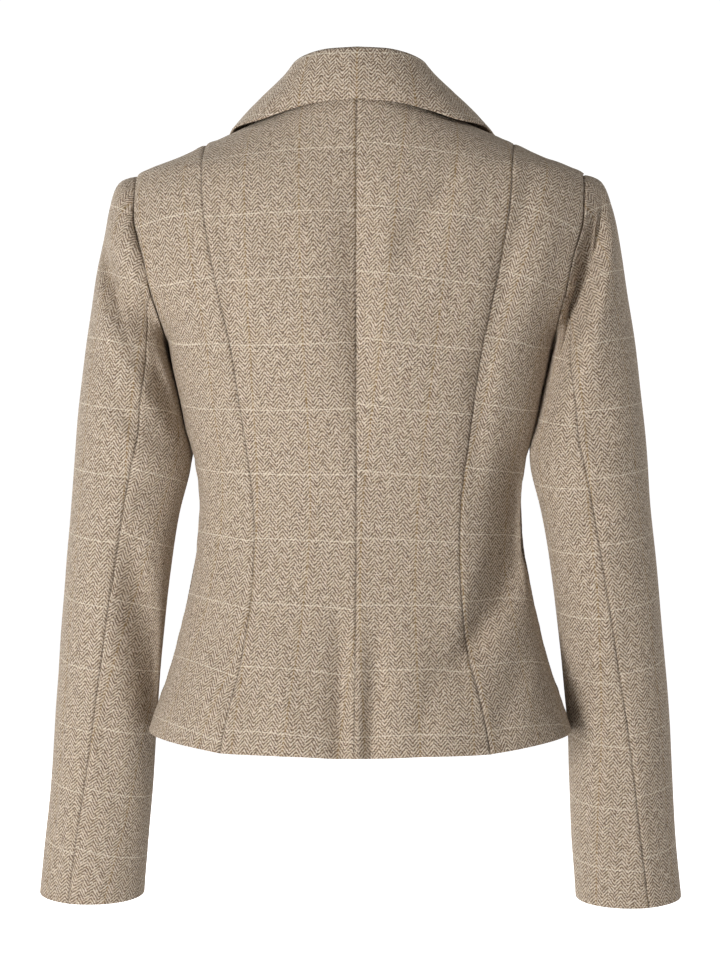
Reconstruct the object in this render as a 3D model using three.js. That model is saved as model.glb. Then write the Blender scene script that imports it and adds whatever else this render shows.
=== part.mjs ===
// A short fitted jacket in wool tweed, filled out as if worn, with nobody in it.
// Millimetres. The front faces -Y, the wearer's left is +X and up is +Z.
// Z is 0 where the shoulder seams would meet the side of the neck, X is 0 at the centre back seam.

import * as THREE from 'three';

// Sizes of the cloth and of its seams
const CLOTH = 2;
const SEAM_GAP = 0.3;
const LAYER_GAP = 1.1;

// Heights that the cut is built on
const NAPE_Z = 24;
const NECK_POINT_X = 66;
const NECK_POINT_Z = 6;
const SHOULDER_TIP_Z = -51;
const UNDERARM_Z = -190;
const BLADE_Z = -198;
const GORGE_Z = -28;
const BREAK_Z = -240;
const HEM_BACK_Z = -533;
const HEM_SIDE_Z = -523;
const HEM_FRONT_Z = -536;
const HEM_SWEEP = 4;
const FRONT_WRAP = 20;
const LIFT_FULL_X = 46;
const LIFT_END_X = 92;
const LIFT_TOP_Z = -100;
const LIFT_FULL_Z = -168;

// How finely each piece is divided
const ARMHOLE_STEPS = 12;
const BODY_STEPS = 14;
const ROWS = ARMHOLE_STEPS + BODY_STEPS;
const NECK_COLUMNS = 6;
const SHOULDER_COLUMNS = 3;
const SIDE_COLUMNS = 6;
const ROLL_ROWS = 5;
const BREAK_ROW = 13;

// The body as level sections, from the neck down: half width, how far the centre back and
// the centre front stand from the middle plane, where the side lies, and how full the section is
const BODY_SECTIONS = [
  { z: 34, half: 40, back: 47, front: -34, side: -5, full: 2.0 },
  { z: 24, half: 49, back: 52, front: -38, side: -5, full: 2.0 },
  { z: 6, half: 66, back: 61, front: -50, side: -5, full: 2.05 },
  { z: -17, half: 112, back: 70, front: -60, side: -5, full: 2.1 },
  { z: -34, half: 150.5, back: 76, front: -66, side: -5, full: 2.17 },
  { z: -51, half: 189, back: 82, front: -73, side: -5, full: 2.25 },
  { z: -72, half: 200, back: 87, front: -81, side: -4, full: 2.4 },
  { z: -93, half: 203, back: 91, front: -90, side: -3, full: 2.4 },
  { z: -131, half: 199, back: 95, front: -105, side: -1, full: 2.4 },
  { z: -152, half: 188, back: 95, front: -113, side: 0, full: 2.4 },
  { z: -171, half: 175, back: 94, front: -118, side: 0, full: 2.4 },
  { z: -190, half: 164, back: 92, front: -121, side: 0, full: 2.4 },
  { z: -214, half: 159, back: 89, front: -122, side: 0, full: 2.35 },
  { z: -236, half: 154, back: 86, front: -120, side: 0, full: 2.3 },
  { z: -267, half: 147.5, back: 80, front: -113, side: 0, full: 2.25 },
  { z: -295, half: 140, back: 75, front: -105, side: 0, full: 2.2 },
  { z: -326, half: 136.4, back: 72, front: -99, side: 0, full: 2.2 },
  { z: -360, half: 138, back: 74, front: -99, side: 0, full: 2.2 },
  { z: -394, half: 143.7, back: 80, front: -103, side: 0, full: 2.2 },
  { z: -428, half: 150.9, back: 89, front: -109, side: 0, full: 2.2 },
  { z: -462, half: 159.4, back: 100, front: -115, side: 0, full: 2.2 },
  { z: -496, half: 171, back: 111, front: -121, side: 0, full: 2.2 },
  { z: -524, half: 180, back: 119, front: -126, side: 0, full: 2.2 },
  { z: -545, half: 186, back: 124, front: -129, side: 0, full: 2.2 },
];

// The back princess seam: how far it lies from the centre back, down the back
const PRINCESS = [
  { z: -24, x: 130 },
  { z: -76, x: 127.5 },
  { z: -122, x: 120.4 },
  { z: -171, x: 110.3 },
  { z: -197, x: 104.6 },
  { z: -233, x: 99.1 },
  { z: -283, x: 92.1 },
  { z: -335, x: 86.3 },
  { z: -359, x: 85.7 },
  { z: -384, x: 86.3 },
  { z: -412, x: 88.4 },
  { z: -452, x: 94.5 },
  { z: -504, x: 106.3 },
  { z: -533, x: 111.5 },
];

// The armhole seam: how far out it lies, behind and before
const ARMHOLE = [
  { z: -51, back: 189, front: 189 },
  { z: -73, back: 188.7, front: 184 },
  { z: -93, back: 187.7, front: 178.5 },
  { z: -104, back: 185, front: 175 },
  { z: -118, back: 181, front: 171 },
  { z: -131, back: 177.6, front: 168 },
  { z: -152, back: 173.5, front: 165 },
  { z: -171, back: 168, front: 164 },
  { z: -190, back: 164, front: 164 },
];

// The back neck seam, from the nape to the side of the neck
const BACK_NECK = [
  { x: 0, z: 24 },
  { x: 24, z: 22.5 },
  { x: 44, z: 17.5 },
  { x: 58, z: 11.5 },
  { x: 66, z: 6 },
];

// The large soft folds of the body: a trough has a negative rise. Each has its middle, the
// half width across it, and the half length and slant along it
const BODY_FOLDS = [
  { x: 0, z: -150, rise: -5, wide: 26, long: 95, slant: 0 },
  { x: 34, z: -150, rise: 2, wide: 24, long: 80, slant: 0 },
  { x: -34, z: -150, rise: 2.5, wide: 24, long: 80, slant: 0 },
  { x: 12, z: -520, rise: -6, wide: 13, long: 75, slant: 0.02 },
  { x: -4, z: -530, rise: 3, wide: 9, long: 60, slant: 0 },
  { x: -14, z: -525, rise: -5, wide: 10, long: 60, slant: -0.03 },
  { x: 60, z: -525, rise: 3.5, wide: 30, long: 70, slant: -0.1 },
  { x: -62, z: -525, rise: 3, wide: 30, long: 70, slant: 0.1 },
  { x: -104, z: -425, rise: -6, wide: 16, long: 55, slant: -0.45 },
  { x: 118, z: -440, rise: -3, wide: 16, long: 50, slant: 0.35 },
];

// Rings down the sleeve: the outermost and innermost points, where the ring's middle lies
// fore and aft, how deep it is behind and before, how far its back dips, and how far its
// inner front is tucked in against the body
const SLEEVE_RINGS = [
  { outX: 204, outZ: -56.5, inX: 165.3, inZ: -193, y: 1, back: 51, front: 50, dip: 0, tuck: 0 },
  { outX: 213.5, outZ: -80, inX: 163.8, inZ: -199, y: 1, back: 54, front: 53, dip: 0, tuck: 3 },
  { outX: 221.3, outZ: -118, inX: 160, inZ: -214, y: 1, back: 57, front: 56, dip: 0, tuck: 7 },
  { outX: 227.5, outZ: -160, inX: 155, inZ: -236, y: 1, back: 58, front: 56, dip: 0, tuck: 9 },
  { outX: 234, outZ: -203, inX: 149.8, inZ: -261, y: 2, back: 57, front: 55, dip: 0, tuck: 9 },
  { outX: 239.5, outZ: -250, inX: 144.4, inZ: -282, y: 2, back: 55, front: 53, dip: 1, tuck: 9 },
  { outX: 243.3, outZ: -292, inX: 144.6, inZ: -299, y: 2, back: 53, front: 51, dip: 1, tuck: 6 },
  { outX: 246.6, outZ: -336, inX: 154, inZ: -338, y: 0, back: 50, front: 49, dip: 2, tuck: 1 },
  { outX: 253, outZ: -394, inX: 163.6, inZ: -396, y: -7, back: 47, front: 47, dip: 3, tuck: 0 },
  { outX: 259.5, outZ: -463, inX: 171.7, inZ: -465, y: -17, back: 45, front: 45, dip: 4, tuck: 0 },
  { outX: 264.5, outZ: -516, inX: 176.7, inZ: -518, y: -26, back: 43, front: 43, dip: 4, tuck: 0 },
  { outX: 270, outZ: -586, inX: 181, inZ: -588, y: -38, back: 42, front: 42, dip: 5, tuck: 0 },
  { outX: 279.7, outZ: -671, inX: 188.5, inZ: -672, y: -54, back: 41, front: 41, dip: 5, tuck: 0 },
];

// Where the two sleeve seams run, in degrees round from the outside, at each of those rings.
// Ring 0 is the armhole
const SLEEVE_SEAMS = [
  { ring: 0, back: 120, front: 120 },
  { ring: 1, back: 119, front: 118 },
  { ring: 2, back: 118, front: 118 },
  { ring: 3, back: 117, front: 118 },
  { ring: 4, back: 113, front: 118 },
  { ring: 5, back: 107, front: 118 },
  { ring: 6, back: 101, front: 118 },
  { ring: 7, back: 96, front: 118 },
  { ring: 8, back: 94, front: 118 },
  { ring: 9, back: 91, front: 120 },
  { ring: 10, back: 86, front: 122 },
  { ring: 11, back: 81.5, front: 124 },
  { ring: 12, back: 74, front: 126 },
  { ring: 13, back: 69, front: 128 },
];

// How far out of its mirrored place each sleeve hangs at the cuff, and the ring it starts from
const CUFF_SWING = { left: 2.8, right: -3.2 };
const SWING_RING = 11;
const TUCK_TURN = 220;
const TUCK_LONG = 18;

// The large folds of a sleeve, by ring and by degrees round from the outside towards the back
const SLEEVE_FOLDS = {
  left: [
    { ring: 3.4, turn: 62, rise: -6, ringsWide: 0.55, turnLong: 42, slant: 0.016 },
    { ring: 5.6, turn: 118, rise: -5, ringsWide: 0.7, turnLong: 34, slant: 0.02 },
    { ring: 7.6, turn: 128, rise: -3, ringsWide: 0.5, turnLong: 30, slant: -0.01 },
  ],
  right: [
    { ring: 2.2, turn: 66, rise: -6, ringsWide: 0.6, turnLong: 38, slant: 0.02 },
    { ring: 5.4, turn: 104, rise: -4, ringsWide: 0.8, turnLong: 30, slant: 0.016 },
    { ring: 7.4, turn: 120, rise: -3, ringsWide: 0.6, turnLong: 30, slant: -0.01 },
  ],
};

// The collar from the centre back (at 0) past the side of the neck (at 4) to the gorge (at 6):
// its fold, then its free edge, which lies over the back, the shoulder or the chest
const COLLAR_SECTIONS = [
  { at: 0, foldX: 0, foldY: 50, foldZ: 51, edgeX: 0, edgeZ: 6, face: 1, lift: 2.6, drape: 0 },
  { at: 1, foldX: 23, foldY: 47, foldZ: 50, edgeX: 30, edgeZ: 3, face: 1, lift: 2.6, drape: 0 },
  { at: 2, foldX: 43, foldY: 35, foldZ: 46.5, edgeX: 59, edgeZ: -4, face: 1, lift: 2.6, drape: 0 },
  { at: 3, foldX: 56, foldY: 15, foldZ: 40.5, edgeX: 83, edgeZ: -11, face: 1, lift: 2.6, drape: 0 },
  { at: 4, foldX: 60, foldY: -9, foldZ: 33, edgeX: 105, edgeZ: -14, face: 1, lift: 2.6, drape: 0 },
  { at: 4.4, foldX: 60.5, foldY: -23, foldZ: 24, edgeX: 113, edgeZ: -21, face: -1, lift: 3.6, drape: 0.2 },
  { at: 5, foldX: 59.5, foldY: -41, foldZ: 9, edgeX: 123, edgeZ: -36, face: -1, lift: 3.5, drape: 0.6 },
  { at: 5.6, foldX: 55.5, foldY: -56, foldZ: -12, edgeX: 119, edgeZ: -46, face: -1, lift: 3, drape: 0.8 },
];
const COLLAR_NOTCH = { at: 6, edgeX: 97, edgeZ: -53.4, face: -1, lift: 2.6, drape: 1 };

// A lapel down its roll line: where each section starts on the roll line and its outer edge
const LAPEL_SECTIONS = [
  { rollZ: -28, edgeX: 133, edgeZ: -74.7 },
  { rollZ: -70, edgeX: 118, edgeZ: -118 },
  { rollZ: -120, edgeX: 84, edgeZ: -166 },
  { rollZ: -165, edgeX: 46, edgeZ: -200 },
  { rollZ: -205, edgeX: 9, edgeZ: -226 },
  { rollZ: -230, edgeX: -7, edgeZ: -238 },
];
const LEFT_LAPEL_END_Z = -160;
const RIGHT_LAPEL_END_Z = -230;
const ROLL_OUT = 3;
const ROLL_UP = 2.2;
const FOLD_RADIUS = 2.6;
const FOLD_DROP = 2.5;

// The buttons on the centre front
const BUTTON_RADIUS = 10.5;
const BUTTON_THICK = 3.6;
const BUTTON_SHANK = 2.6;
const BUTTON_HEIGHTS = [-254, -340];

const TWEED = { color: 0xb09f8c, roughness: 0.95, metalness: 0 };
const HORN = { color: 0x5b4636, roughness: 0.4, metalness: 0 };

// One column of a table as a smooth function of another that never swings past its values
function smoothColumn(rows, key, column) {
  const sorted = [...rows].sort((a, b) => a[key] - b[key]);
  const t = sorted.map((row) => row[key]);
  const v = sorted.map((row) => row[column]);
  const last = t.length - 1;
  const rate = t.slice(0, last).map((_, i) => (v[i + 1] - v[i]) / (t[i + 1] - t[i]));
  const slope = v.map((_, i) => {
    if (i === 0) return rate[0];
    if (i === last) return rate[last - 1];
    if (rate[i - 1] * rate[i] <= 0) return 0;
    const before = t[i] - t[i - 1];
    const after = t[i + 1] - t[i];
    const a = 2 * after + before;
    const b = after + 2 * before;
    return (a + b) / (a / rate[i - 1] + b / rate[i]);
  });
  return (at) => {
    const x = Math.min(Math.max(at, t[0]), t[last]);
    let i = 0;
    while (i < last - 1 && x > t[i + 1]) i += 1;
    const h = t[i + 1] - t[i];
    const u = (x - t[i]) / h;
    const start = (1 + 2 * u) * (1 - u) ** 2 * v[i] + u * (1 - u) ** 2 * h * slope[i];
    const end = u * u * (3 - 2 * u) * v[i + 1] + u * u * (u - 1) * h * slope[i + 1];
    return start + end;
  };
}

const mix = (a, b, t) => a + (b - a) * t;
const soften = (u) => {
  const t = Math.min(Math.max(u, 0), 1);
  return t * t * (3 - 2 * t);
};

// The body's form

const halfWidth = smoothColumn(BODY_SECTIONS, 'z', 'half');
const backY = smoothColumn(BODY_SECTIONS, 'z', 'back');
const frontY = smoothColumn(BODY_SECTIONS, 'z', 'front');
const sideY = smoothColumn(BODY_SECTIONS, 'z', 'side');
const fullness = smoothColumn(BODY_SECTIONS, 'z', 'full');
const princessX = smoothColumn(PRINCESS, 'z', 'x');
const armholeBackX = smoothColumn(ARMHOLE, 'z', 'back');
const armholeFrontX = smoothColumn(ARMHOLE, 'z', 'front');
const backNeckZ = smoothColumn(BACK_NECK, 'x', 'z');

// How far out of the form a place lies: 1 is on it
function formLevel(x, y, z) {
  const depth = y > sideY(z) ? backY(z) - sideY(z) : sideY(z) - frontY(z);
  const n = fullness(z);
  return (Math.abs(x) / halfWidth(z)) ** n + (Math.abs(y - sideY(z)) / depth) ** n;
}

function formNormal(point) {
  const step = 0.5;
  const { x, y, z } = point;
  const slope = (dx, dy, dz) =>
    formLevel(x + dx, y + dy, z + dz) - formLevel(x - dx, y - dy, z - dz);
  return new THREE.Vector3(slope(step, 0, 0), slope(0, step, 0), slope(0, 0, step)).normalize();
}

// A soft fold is a bump, round across and longer along
function bodyFoldRise(x, z) {
  return BODY_FOLDS.reduce((sum, fold) => {
    const across = (x - fold.x - fold.slant * (z - fold.z)) / fold.wide;
    const along = (z - fold.z) / fold.long;
    return sum + fold.rise * Math.exp(-across * across - along * along);
  }, 0);
}

const ON_EDGE = 0.9996;

// The place on the body at x and z, on the back (face 1) or the front (face -1), moved out
function bodyPoint(x, z, face, lift = 0) {
  const half = halfWidth(z);
  const n = fullness(z);
  const reach = Math.abs(x) / half > ON_EDGE ? 1 : Math.abs(x) / half;
  const depth = face > 0 ? backY(z) - sideY(z) : sideY(z) - frontY(z);
  const y = sideY(z) + face * depth * Math.max(1 - reach ** n, 0) ** (1 / n);
  const point = new THREE.Vector3(x, y, z);
  const normal = formNormal(point);
  const fold = face > 0 ? bodyFoldRise(x, z) : 0;
  return point.addScaledVector(normal, lift + fold);
}

// Seams of the body as heights row by row, shared by the pieces on both sides of a seam

const bodyRows = Array.from({ length: ROWS + 1 }, (_, i) => i);
const TOP_CROWD = 1.6;
const ROLL_CROWD = 1.8;

function rowHeight(row, top, middle, hem, crowd) {
  if (row <= ARMHOLE_STEPS) {
    return mix(top, middle, (row / ARMHOLE_STEPS) ** crowd);
  }
  return mix(middle, hem, (row - ARMHOLE_STEPS) / BODY_STEPS);
}

function hemHeight(x, face) {
  const reach = Math.min(Math.abs(x) / halfWidth(HEM_SIDE_Z), 1);
  return mix(face > 0 ? HEM_BACK_Z : HEM_FRONT_Z, HEM_SIDE_Z, reach ** HEM_SWEEP);
}

const shoulderZ = (x) => {
  let low = SHOULDER_TIP_Z;
  let high = NAPE_Z;
  for (let i = 0; i < 40; i += 1) {
    const middle = (low + high) / 2;
    if (halfWidth(middle) > x) low = middle;
    else high = middle;
  }
  return low;
};

const shoulderTipX = armholeBackX(SHOULDER_TIP_Z);
const princessTopX = princessX(PRINCESS[0].z);

const centreBackLine = bodyRows.map((row) => ({
  x: 0,
  z: rowHeight(row, NAPE_Z, BLADE_Z, hemHeight(0, 1), 1),
}));

const princessHemZ = hemHeight(princessX(HEM_BACK_Z), 1);
const princessLine = bodyRows.map((row) => {
  const z = rowHeight(row, shoulderZ(princessTopX), BLADE_Z, princessHemZ, TOP_CROWD);
  return { x: princessX(z), z };
});

function armholeHeight(step) {
  const middle = (SHOULDER_TIP_Z + UNDERARM_Z) / 2;
  const reach = (SHOULDER_TIP_Z - UNDERARM_Z) / 2;
  return middle + reach * Math.cos((step / ARMHOLE_STEPS) * Math.PI);
}

function sideLine(face) {
  return bodyRows.map((row) => {
    if (row >= ARMHOLE_STEPS) {
      const z = mix(UNDERARM_Z, HEM_SIDE_Z, (row - ARMHOLE_STEPS) / BODY_STEPS);
      return { x: halfWidth(z), z };
    }
    const z = armholeHeight(row);
    return { x: face > 0 ? armholeBackX(z) : armholeFrontX(z), z };
  });
}

const rollX = (z) => mix(NECK_POINT_X, -FRONT_WRAP, (NECK_POINT_Z - z) / (NECK_POINT_Z - BREAK_Z));

const frontEdgeLine = bodyRows.map((row) => {
  if (row <= ROLL_ROWS) {
    const z = mix(NECK_POINT_Z, GORGE_Z, (row / ROLL_ROWS) ** ROLL_CROWD);
    return { x: rollX(z), z };
  }
  if (row <= BREAK_ROW) {
    const z = mix(GORGE_Z, BREAK_Z, (row - ROLL_ROWS) / (BREAK_ROW - ROLL_ROWS));
    return { x: rollX(z), z };
  }
  const z = mix(BREAK_Z, HEM_FRONT_Z, (row - BREAK_ROW) / (ROWS - BREAK_ROW));
  return { x: -FRONT_WRAP, z };
});

// Top edges, column by column
const neckEdge = Array.from({ length: NECK_COLUMNS + 1 }, (_, i) => {
  const x = NECK_POINT_X * Math.sin(((i / NECK_COLUMNS) * Math.PI) / 2);
  return { x, z: backNeckZ(x) };
});
const innerShoulder = Array.from({ length: SHOULDER_COLUMNS + 1 }, (_, i) => {
  const x = mix(NECK_POINT_X, princessTopX, i / SHOULDER_COLUMNS);
  return { x, z: shoulderZ(x) };
});
const outerShoulder = Array.from({ length: SIDE_COLUMNS + 1 }, (_, i) => {
  const x = mix(princessTopX, shoulderTipX, Math.sin(((i / SIDE_COLUMNS) * Math.PI) / 2));
  return { x, z: i === SIDE_COLUMNS ? SHOULDER_TIP_Z : shoulderZ(x) };
});

// A four-sided piece between two seams, filled in from its edges, as x and z row by row
function fillPiece(near, far, top, crowdFar) {
  const columns = top.length - 1;
  const lastRow = near.length - 1;
  const reach = (column) => {
    const even = column / columns;
    return crowdFar ? Math.sin((even * Math.PI) / 2) : even;
  };
  return near.map((nearPoint, row) => {
    const down = row / lastRow;
    const farPoint = far[row];
    return top.map((topPoint, column) => {
      const g = reach(column);
      const straightX = mix(near[0].x, far[0].x, g);
      const straightZ = mix(near[0].z, far[0].z, g);
      const hold = (1 - down) ** 2;
      return {
        x: mix(nearPoint.x, farPoint.x, g) + hold * (topPoint.x - straightX),
        z: mix(nearPoint.z, farPoint.z, g) + hold * (topPoint.z - straightZ),
      };
    });
  });
}

// Half a seam's gap is taken off each edge of a grid of points, and more off its top edge if asked
function trimGrid(grid, gap, topCut = 0) {
  const pull = (edge, inner, extra = 0) => {
    const way = inner.clone().sub(edge);
    return edge.clone().addScaledVector(way.normalize(), gap / 2 + extra);
  };
  const lastRow = grid.length - 1;
  const trimmed = grid.map((row) => {
    const lastColumn = row.length - 1;
    return row.map((point, column) => {
      if (column === 0) return pull(point, row[1]);
      if (column === lastColumn) return pull(point, row[lastColumn - 1]);
      return point.clone();
    });
  });
  trimmed[0] = trimmed[0].map((point, column) => pull(point, trimmed[1][column], topCut));
  trimmed[lastRow] = trimmed[lastRow].map((point, column) =>
    pull(point, trimmed[lastRow - 1][column]));
  return trimmed;
}

// A closed wall between an outer and an inner grid of points
function wallGeometry(outer, inner) {
  const rows = outer.length;
  const columns = outer[0].length;
  const positions = [...outer.flat(), ...inner.flat()].flatMap((p) => [p.x, p.y, p.z]);
  const index = [];
  const at = (layer, row, column) => layer * rows * columns + row * columns + column;
  const quad = (a, b, c, d) => index.push(a, b, c, a, c, d);
  for (let r = 0; r < rows - 1; r += 1) {
    for (let c = 0; c < columns - 1; c += 1) {
      quad(at(0, r, c), at(0, r + 1, c), at(0, r + 1, c + 1), at(0, r, c + 1));
      quad(at(1, r, c), at(1, r, c + 1), at(1, r + 1, c + 1), at(1, r + 1, c));
    }
  }
  for (let r = 0; r < rows - 1; r += 1) {
    const end = columns - 1;
    quad(at(0, r, 0), at(1, r, 0), at(1, r + 1, 0), at(0, r + 1, 0));
    quad(at(0, r, end), at(0, r + 1, end), at(1, r + 1, end), at(1, r, end));
  }
  for (let c = 0; c < columns - 1; c += 1) {
    const end = rows - 1;
    quad(at(0, 0, c), at(0, 0, c + 1), at(1, 0, c + 1), at(1, 0, c));
    quad(at(0, end, c), at(1, end, c), at(1, end, c + 1), at(0, end, c + 1));
  }
  return facingOut(positions, index);
}

function facingOut(positions, index) {
  const corner = (i) => new THREE.Vector3().fromArray(positions, 3 * i);
  let volume = 0;
  for (let i = 0; i < index.length; i += 3) {
    volume += corner(index[i]).dot(corner(index[i + 1]).cross(corner(index[i + 2])));
  }
  const turned = [];
  for (let i = 0; i < index.length; i += 3) {
    if (volume > 0) turned.push(index[i], index[i + 1], index[i + 2]);
    else turned.push(index[i], index[i + 2], index[i + 1]);
  }
  const geometry = new THREE.BufferGeometry();
  geometry.setAttribute('position', new THREE.Float32BufferAttribute(positions, 3));
  geometry.setIndex(turned);
  geometry.computeVertexNormals();
  return geometry;
}

const jacket = new THREE.Group();

function addMesh(name, geometry, finish) {
  const mesh = new THREE.Mesh(geometry, new THREE.MeshStandardMaterial(finish));
  mesh.name = name;
  jacket.add(mesh);
  return mesh;
}

const SIDES = [
  { name: 'left', sign: 1 },
  { name: 'right', sign: -1 },
];

// The right front closes over the left one, so near the centre front it is moved out.
// Here x counts from the centre front towards the piece's own side
function frontLift(x, z, sign) {
  if (sign > 0) return 0;
  const across = soften((LIFT_END_X - x) / (LIFT_END_X - LIFT_FULL_X));
  const down = soften((LIFT_TOP_Z - z) / (LIFT_TOP_Z - LIFT_FULL_Z));
  return (CLOTH + LAYER_GAP) * across * down;
}

function bodyWall(cells, sign, face, liftAt = () => 0) {
  const layer = (depth) => cells.map((row) =>
    row.map((cell) => bodyPoint(sign * cell.x, cell.z, face, liftAt(cell) - depth)));
  const outer = layer(0);
  const inner = layer(CLOTH);
  return wallGeometry(trimGrid(outer, SEAM_GAP), trimGrid(inner, SEAM_GAP));
}

for (const side of SIDES) {
  const back = fillPiece(centreBackLine, princessLine, [...neckEdge, ...innerShoulder.slice(1)], false);
  addMesh(`back_${side.name}`, bodyWall(back, side.sign, 1), TWEED);

  const sideBack = fillPiece(princessLine, sideLine(1), outerShoulder, true);
  addMesh(`side_back_${side.name}`, bodyWall(sideBack, side.sign, 1), TWEED);

  const shoulder = [...innerShoulder, ...outerShoulder.slice(1)];
  const front = fillPiece(frontEdgeLine, sideLine(-1), shoulder, true);
  const lift = (cell) => frontLift(cell.x, cell.z, side.sign);
  addMesh(`front_${side.name}`, bodyWall(front, side.sign, -1, lift), TWEED);
}

// The sleeves: a ring is an ellipse between its outermost and innermost points, and the first
// one is the armhole itself

const RINGS = SLEEVE_RINGS.length;
const UPPER_COLUMNS = 16;
const UNDER_COLUMNS = 8;
const ARMHOLE_BEVEL = 0.9;
const RADIANS = Math.PI / 180;

function armholePoint(turn) {
  const step = (Math.abs(turn > 180 ? turn - 360 : turn) / 180) * ARMHOLE_STEPS;
  const face = turn > 180 || turn < 0 ? -1 : 1;
  const z = armholeHeight(step);
  const x = face > 0 ? armholeBackX(z) : armholeFrontX(z);
  return bodyPoint(x, z, face);
}

function ringPoint(ring, turn) {
  const across = Math.cos(turn * RADIANS);
  const along = Math.sin(turn * RADIANS);
  const depth = along > 0 ? ring.back : ring.front;
  const round = turn < 0 ? turn + 360 : turn;
  const tucked = ring.tuck * Math.exp(-(((round - TUCK_TURN) / TUCK_LONG) ** 2));
  return new THREE.Vector3(
    mix(ring.inX, ring.outX, (1 + across) / 2) - tucked,
    ring.y + depth * along,
    mix(ring.inZ, ring.outZ, (1 + across) / 2) - ring.dip * along,
  );
}

function turnAt(column, seam) {
  if (column <= UPPER_COLUMNS) return mix(-seam.front, seam.back, column / UPPER_COLUMNS);
  return mix(seam.back, 360 - seam.front, (column - UPPER_COLUMNS) / UNDER_COLUMNS);
}

const backSeamAt = smoothColumn(SLEEVE_SEAMS, 'ring', 'back');
const frontSeamAt = smoothColumn(SLEEVE_SEAMS, 'ring', 'front');

function sleevePlace(row, column, swing) {
  const knots = SLEEVE_SEAMS.map((seam) => {
    const turn = turnAt(column, seam);
    return seam.ring === 0 ? armholePoint(turn) : ringPoint(SLEEVE_RINGS[seam.ring - 1], turn);
  });
  const place = new THREE.CatmullRomCurve3(knots, false, 'centripetal').getPoint(row / RINGS);
  return place.setX(place.x + swing * soften((row - SWING_RING) / (RINGS - SWING_RING)));
}

function sleeveFoldRise(row, turn, folds) {
  return folds.reduce((sum, fold) => {
    const round = turn - fold.turn;
    const across = (row - fold.ring - fold.slant * round) / fold.ringsWide;
    const along = round / fold.turnLong;
    return sum + fold.rise * Math.exp(-across * across - along * along);
  }, 0);
}

function sleevePoint(row, column, { folds, swing }, depth) {
  const placeAt = (r, c) => sleevePlace(r, c, swing);
  const step = 0.05;
  const high = Math.min(row + step, RINGS);
  const low = Math.max(row - step, 0);
  const down = placeAt(high, column).sub(placeAt(low, column));
  const round = placeAt(row, column + step).sub(placeAt(row, column - step));
  const normal = down.cross(round).normalize();
  const turn = turnAt(column, { back: backSeamAt(row), front: frontSeamAt(row) });
  const rise = sleeveFoldRise(row, turn, folds) * soften(row);
  return placeAt(row, column).addScaledVector(normal, rise - depth);
}

function sleeveWall(firstColumn, lastColumn, sign, hang) {
  const rows = Array.from({ length: 2 * RINGS + 1 }, (_, i) => i / 2);
  const count = lastColumn - firstColumn + 1;
  const columns = Array.from({ length: count }, (_, i) => firstColumn + i);
  const layer = (depth) => rows.map((row) => columns.map((column) => {
    const point = sleevePoint(row, column, hang, depth);
    return point.setX(sign * point.x);
  }));
  return wallGeometry(trimGrid(layer(0), SEAM_GAP), trimGrid(layer(CLOTH), SEAM_GAP, ARMHOLE_BEVEL));
}

for (const side of SIDES) {
  const hang = { folds: SLEEVE_FOLDS[side.name], swing: CUFF_SWING[side.name] };
  const upper = sleeveWall(0, UPPER_COLUMNS, side.sign, hang);
  addMesh(`sleeve_upper_${side.name}`, upper, TWEED);
  const under = sleeveWall(UPPER_COLUMNS, UPPER_COLUMNS + UNDER_COLUMNS, side.sign, hang);
  addMesh(`sleeve_under_${side.name}`, under, TWEED);
}

// Collar and lapels: sections that start at the neck edge, go over a fold and come down

const SECTION_STOPS = [0, 1, 2, 2.5, 3, 3.5, 4, 4.5, 5, 5.5, 6, 6.5, 7];
const SECTION_KNOTS = 8;
const AT_NECK_SIDE = 4;
const AT_GORGE = 6;
const COLLAR_BOW = 2.5;
const ALONG_FALL = [1 / 3, 2 / 3];
const OVER_CHEST = 0.9;
const ROLL_SPRING = 3.2;
const GORGE_GAP = 0.8;

// The way along the body's surface from an edge into the opening beside it
function inwardWay(before, after, normal, towards) {
  const along = after.clone().sub(before);
  const way = along.cross(normal).normalize();
  return way.dot(towards) < 0 ? way.negate() : way;
}

// The middle of the cloth along one section, as a smooth line over its fold
function sectionLine(edge, inward, fold, middles, end) {
  const up = fold.clone().sub(edge).normalize();
  const lean = Math.sqrt(Math.max(1 - up.dot(inward) ** 2, 0));
  const start = edge.clone().addScaledVector(inward, SEAM_GAP + (CLOTH / 2) * lean);
  const rise = fold.clone().sub(start).normalize();
  const out = end.clone().sub(fold);
  out.addScaledVector(rise, -out.dot(rise)).normalize();
  const below = fold.clone().addScaledVector(rise, -FOLD_DROP);
  const innerSide = below.clone().addScaledVector(out, -FOLD_RADIUS);
  const outerSide = below.clone().addScaledVector(out, FOLD_RADIUS);
  const halfway = start.clone().lerp(innerSide, 0.5);
  const knots = [start, halfway, innerSide, fold, outerSide, ...middles(outerSide, out), end];
  const curve = new THREE.CatmullRomCurve3(knots, false, 'centripetal');
  return SECTION_STOPS.map((stop) => curve.getPoint(stop / (SECTION_KNOTS - 1)));
}

// Walls of cloth on both sides of a grid of middle points
function wallAround(grid) {
  const near = (list, i) => list[Math.min(Math.max(i, 0), list.length - 1)];
  const normals = grid.map((row, r) => row.map((_, c) => {
    const across = near(row, c + 1).clone().sub(near(row, c - 1));
    const along = near(grid, r + 1)[c].clone().sub(near(grid, r - 1)[c]);
    return along.cross(across).normalize();
  }));
  const layer = (amount) => grid.map((row, r) =>
    row.map((point, c) => point.clone().addScaledVector(normals[r][c], amount)));
  return wallGeometry(layer(CLOTH / 2), layer(-CLOTH / 2));
}

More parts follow.
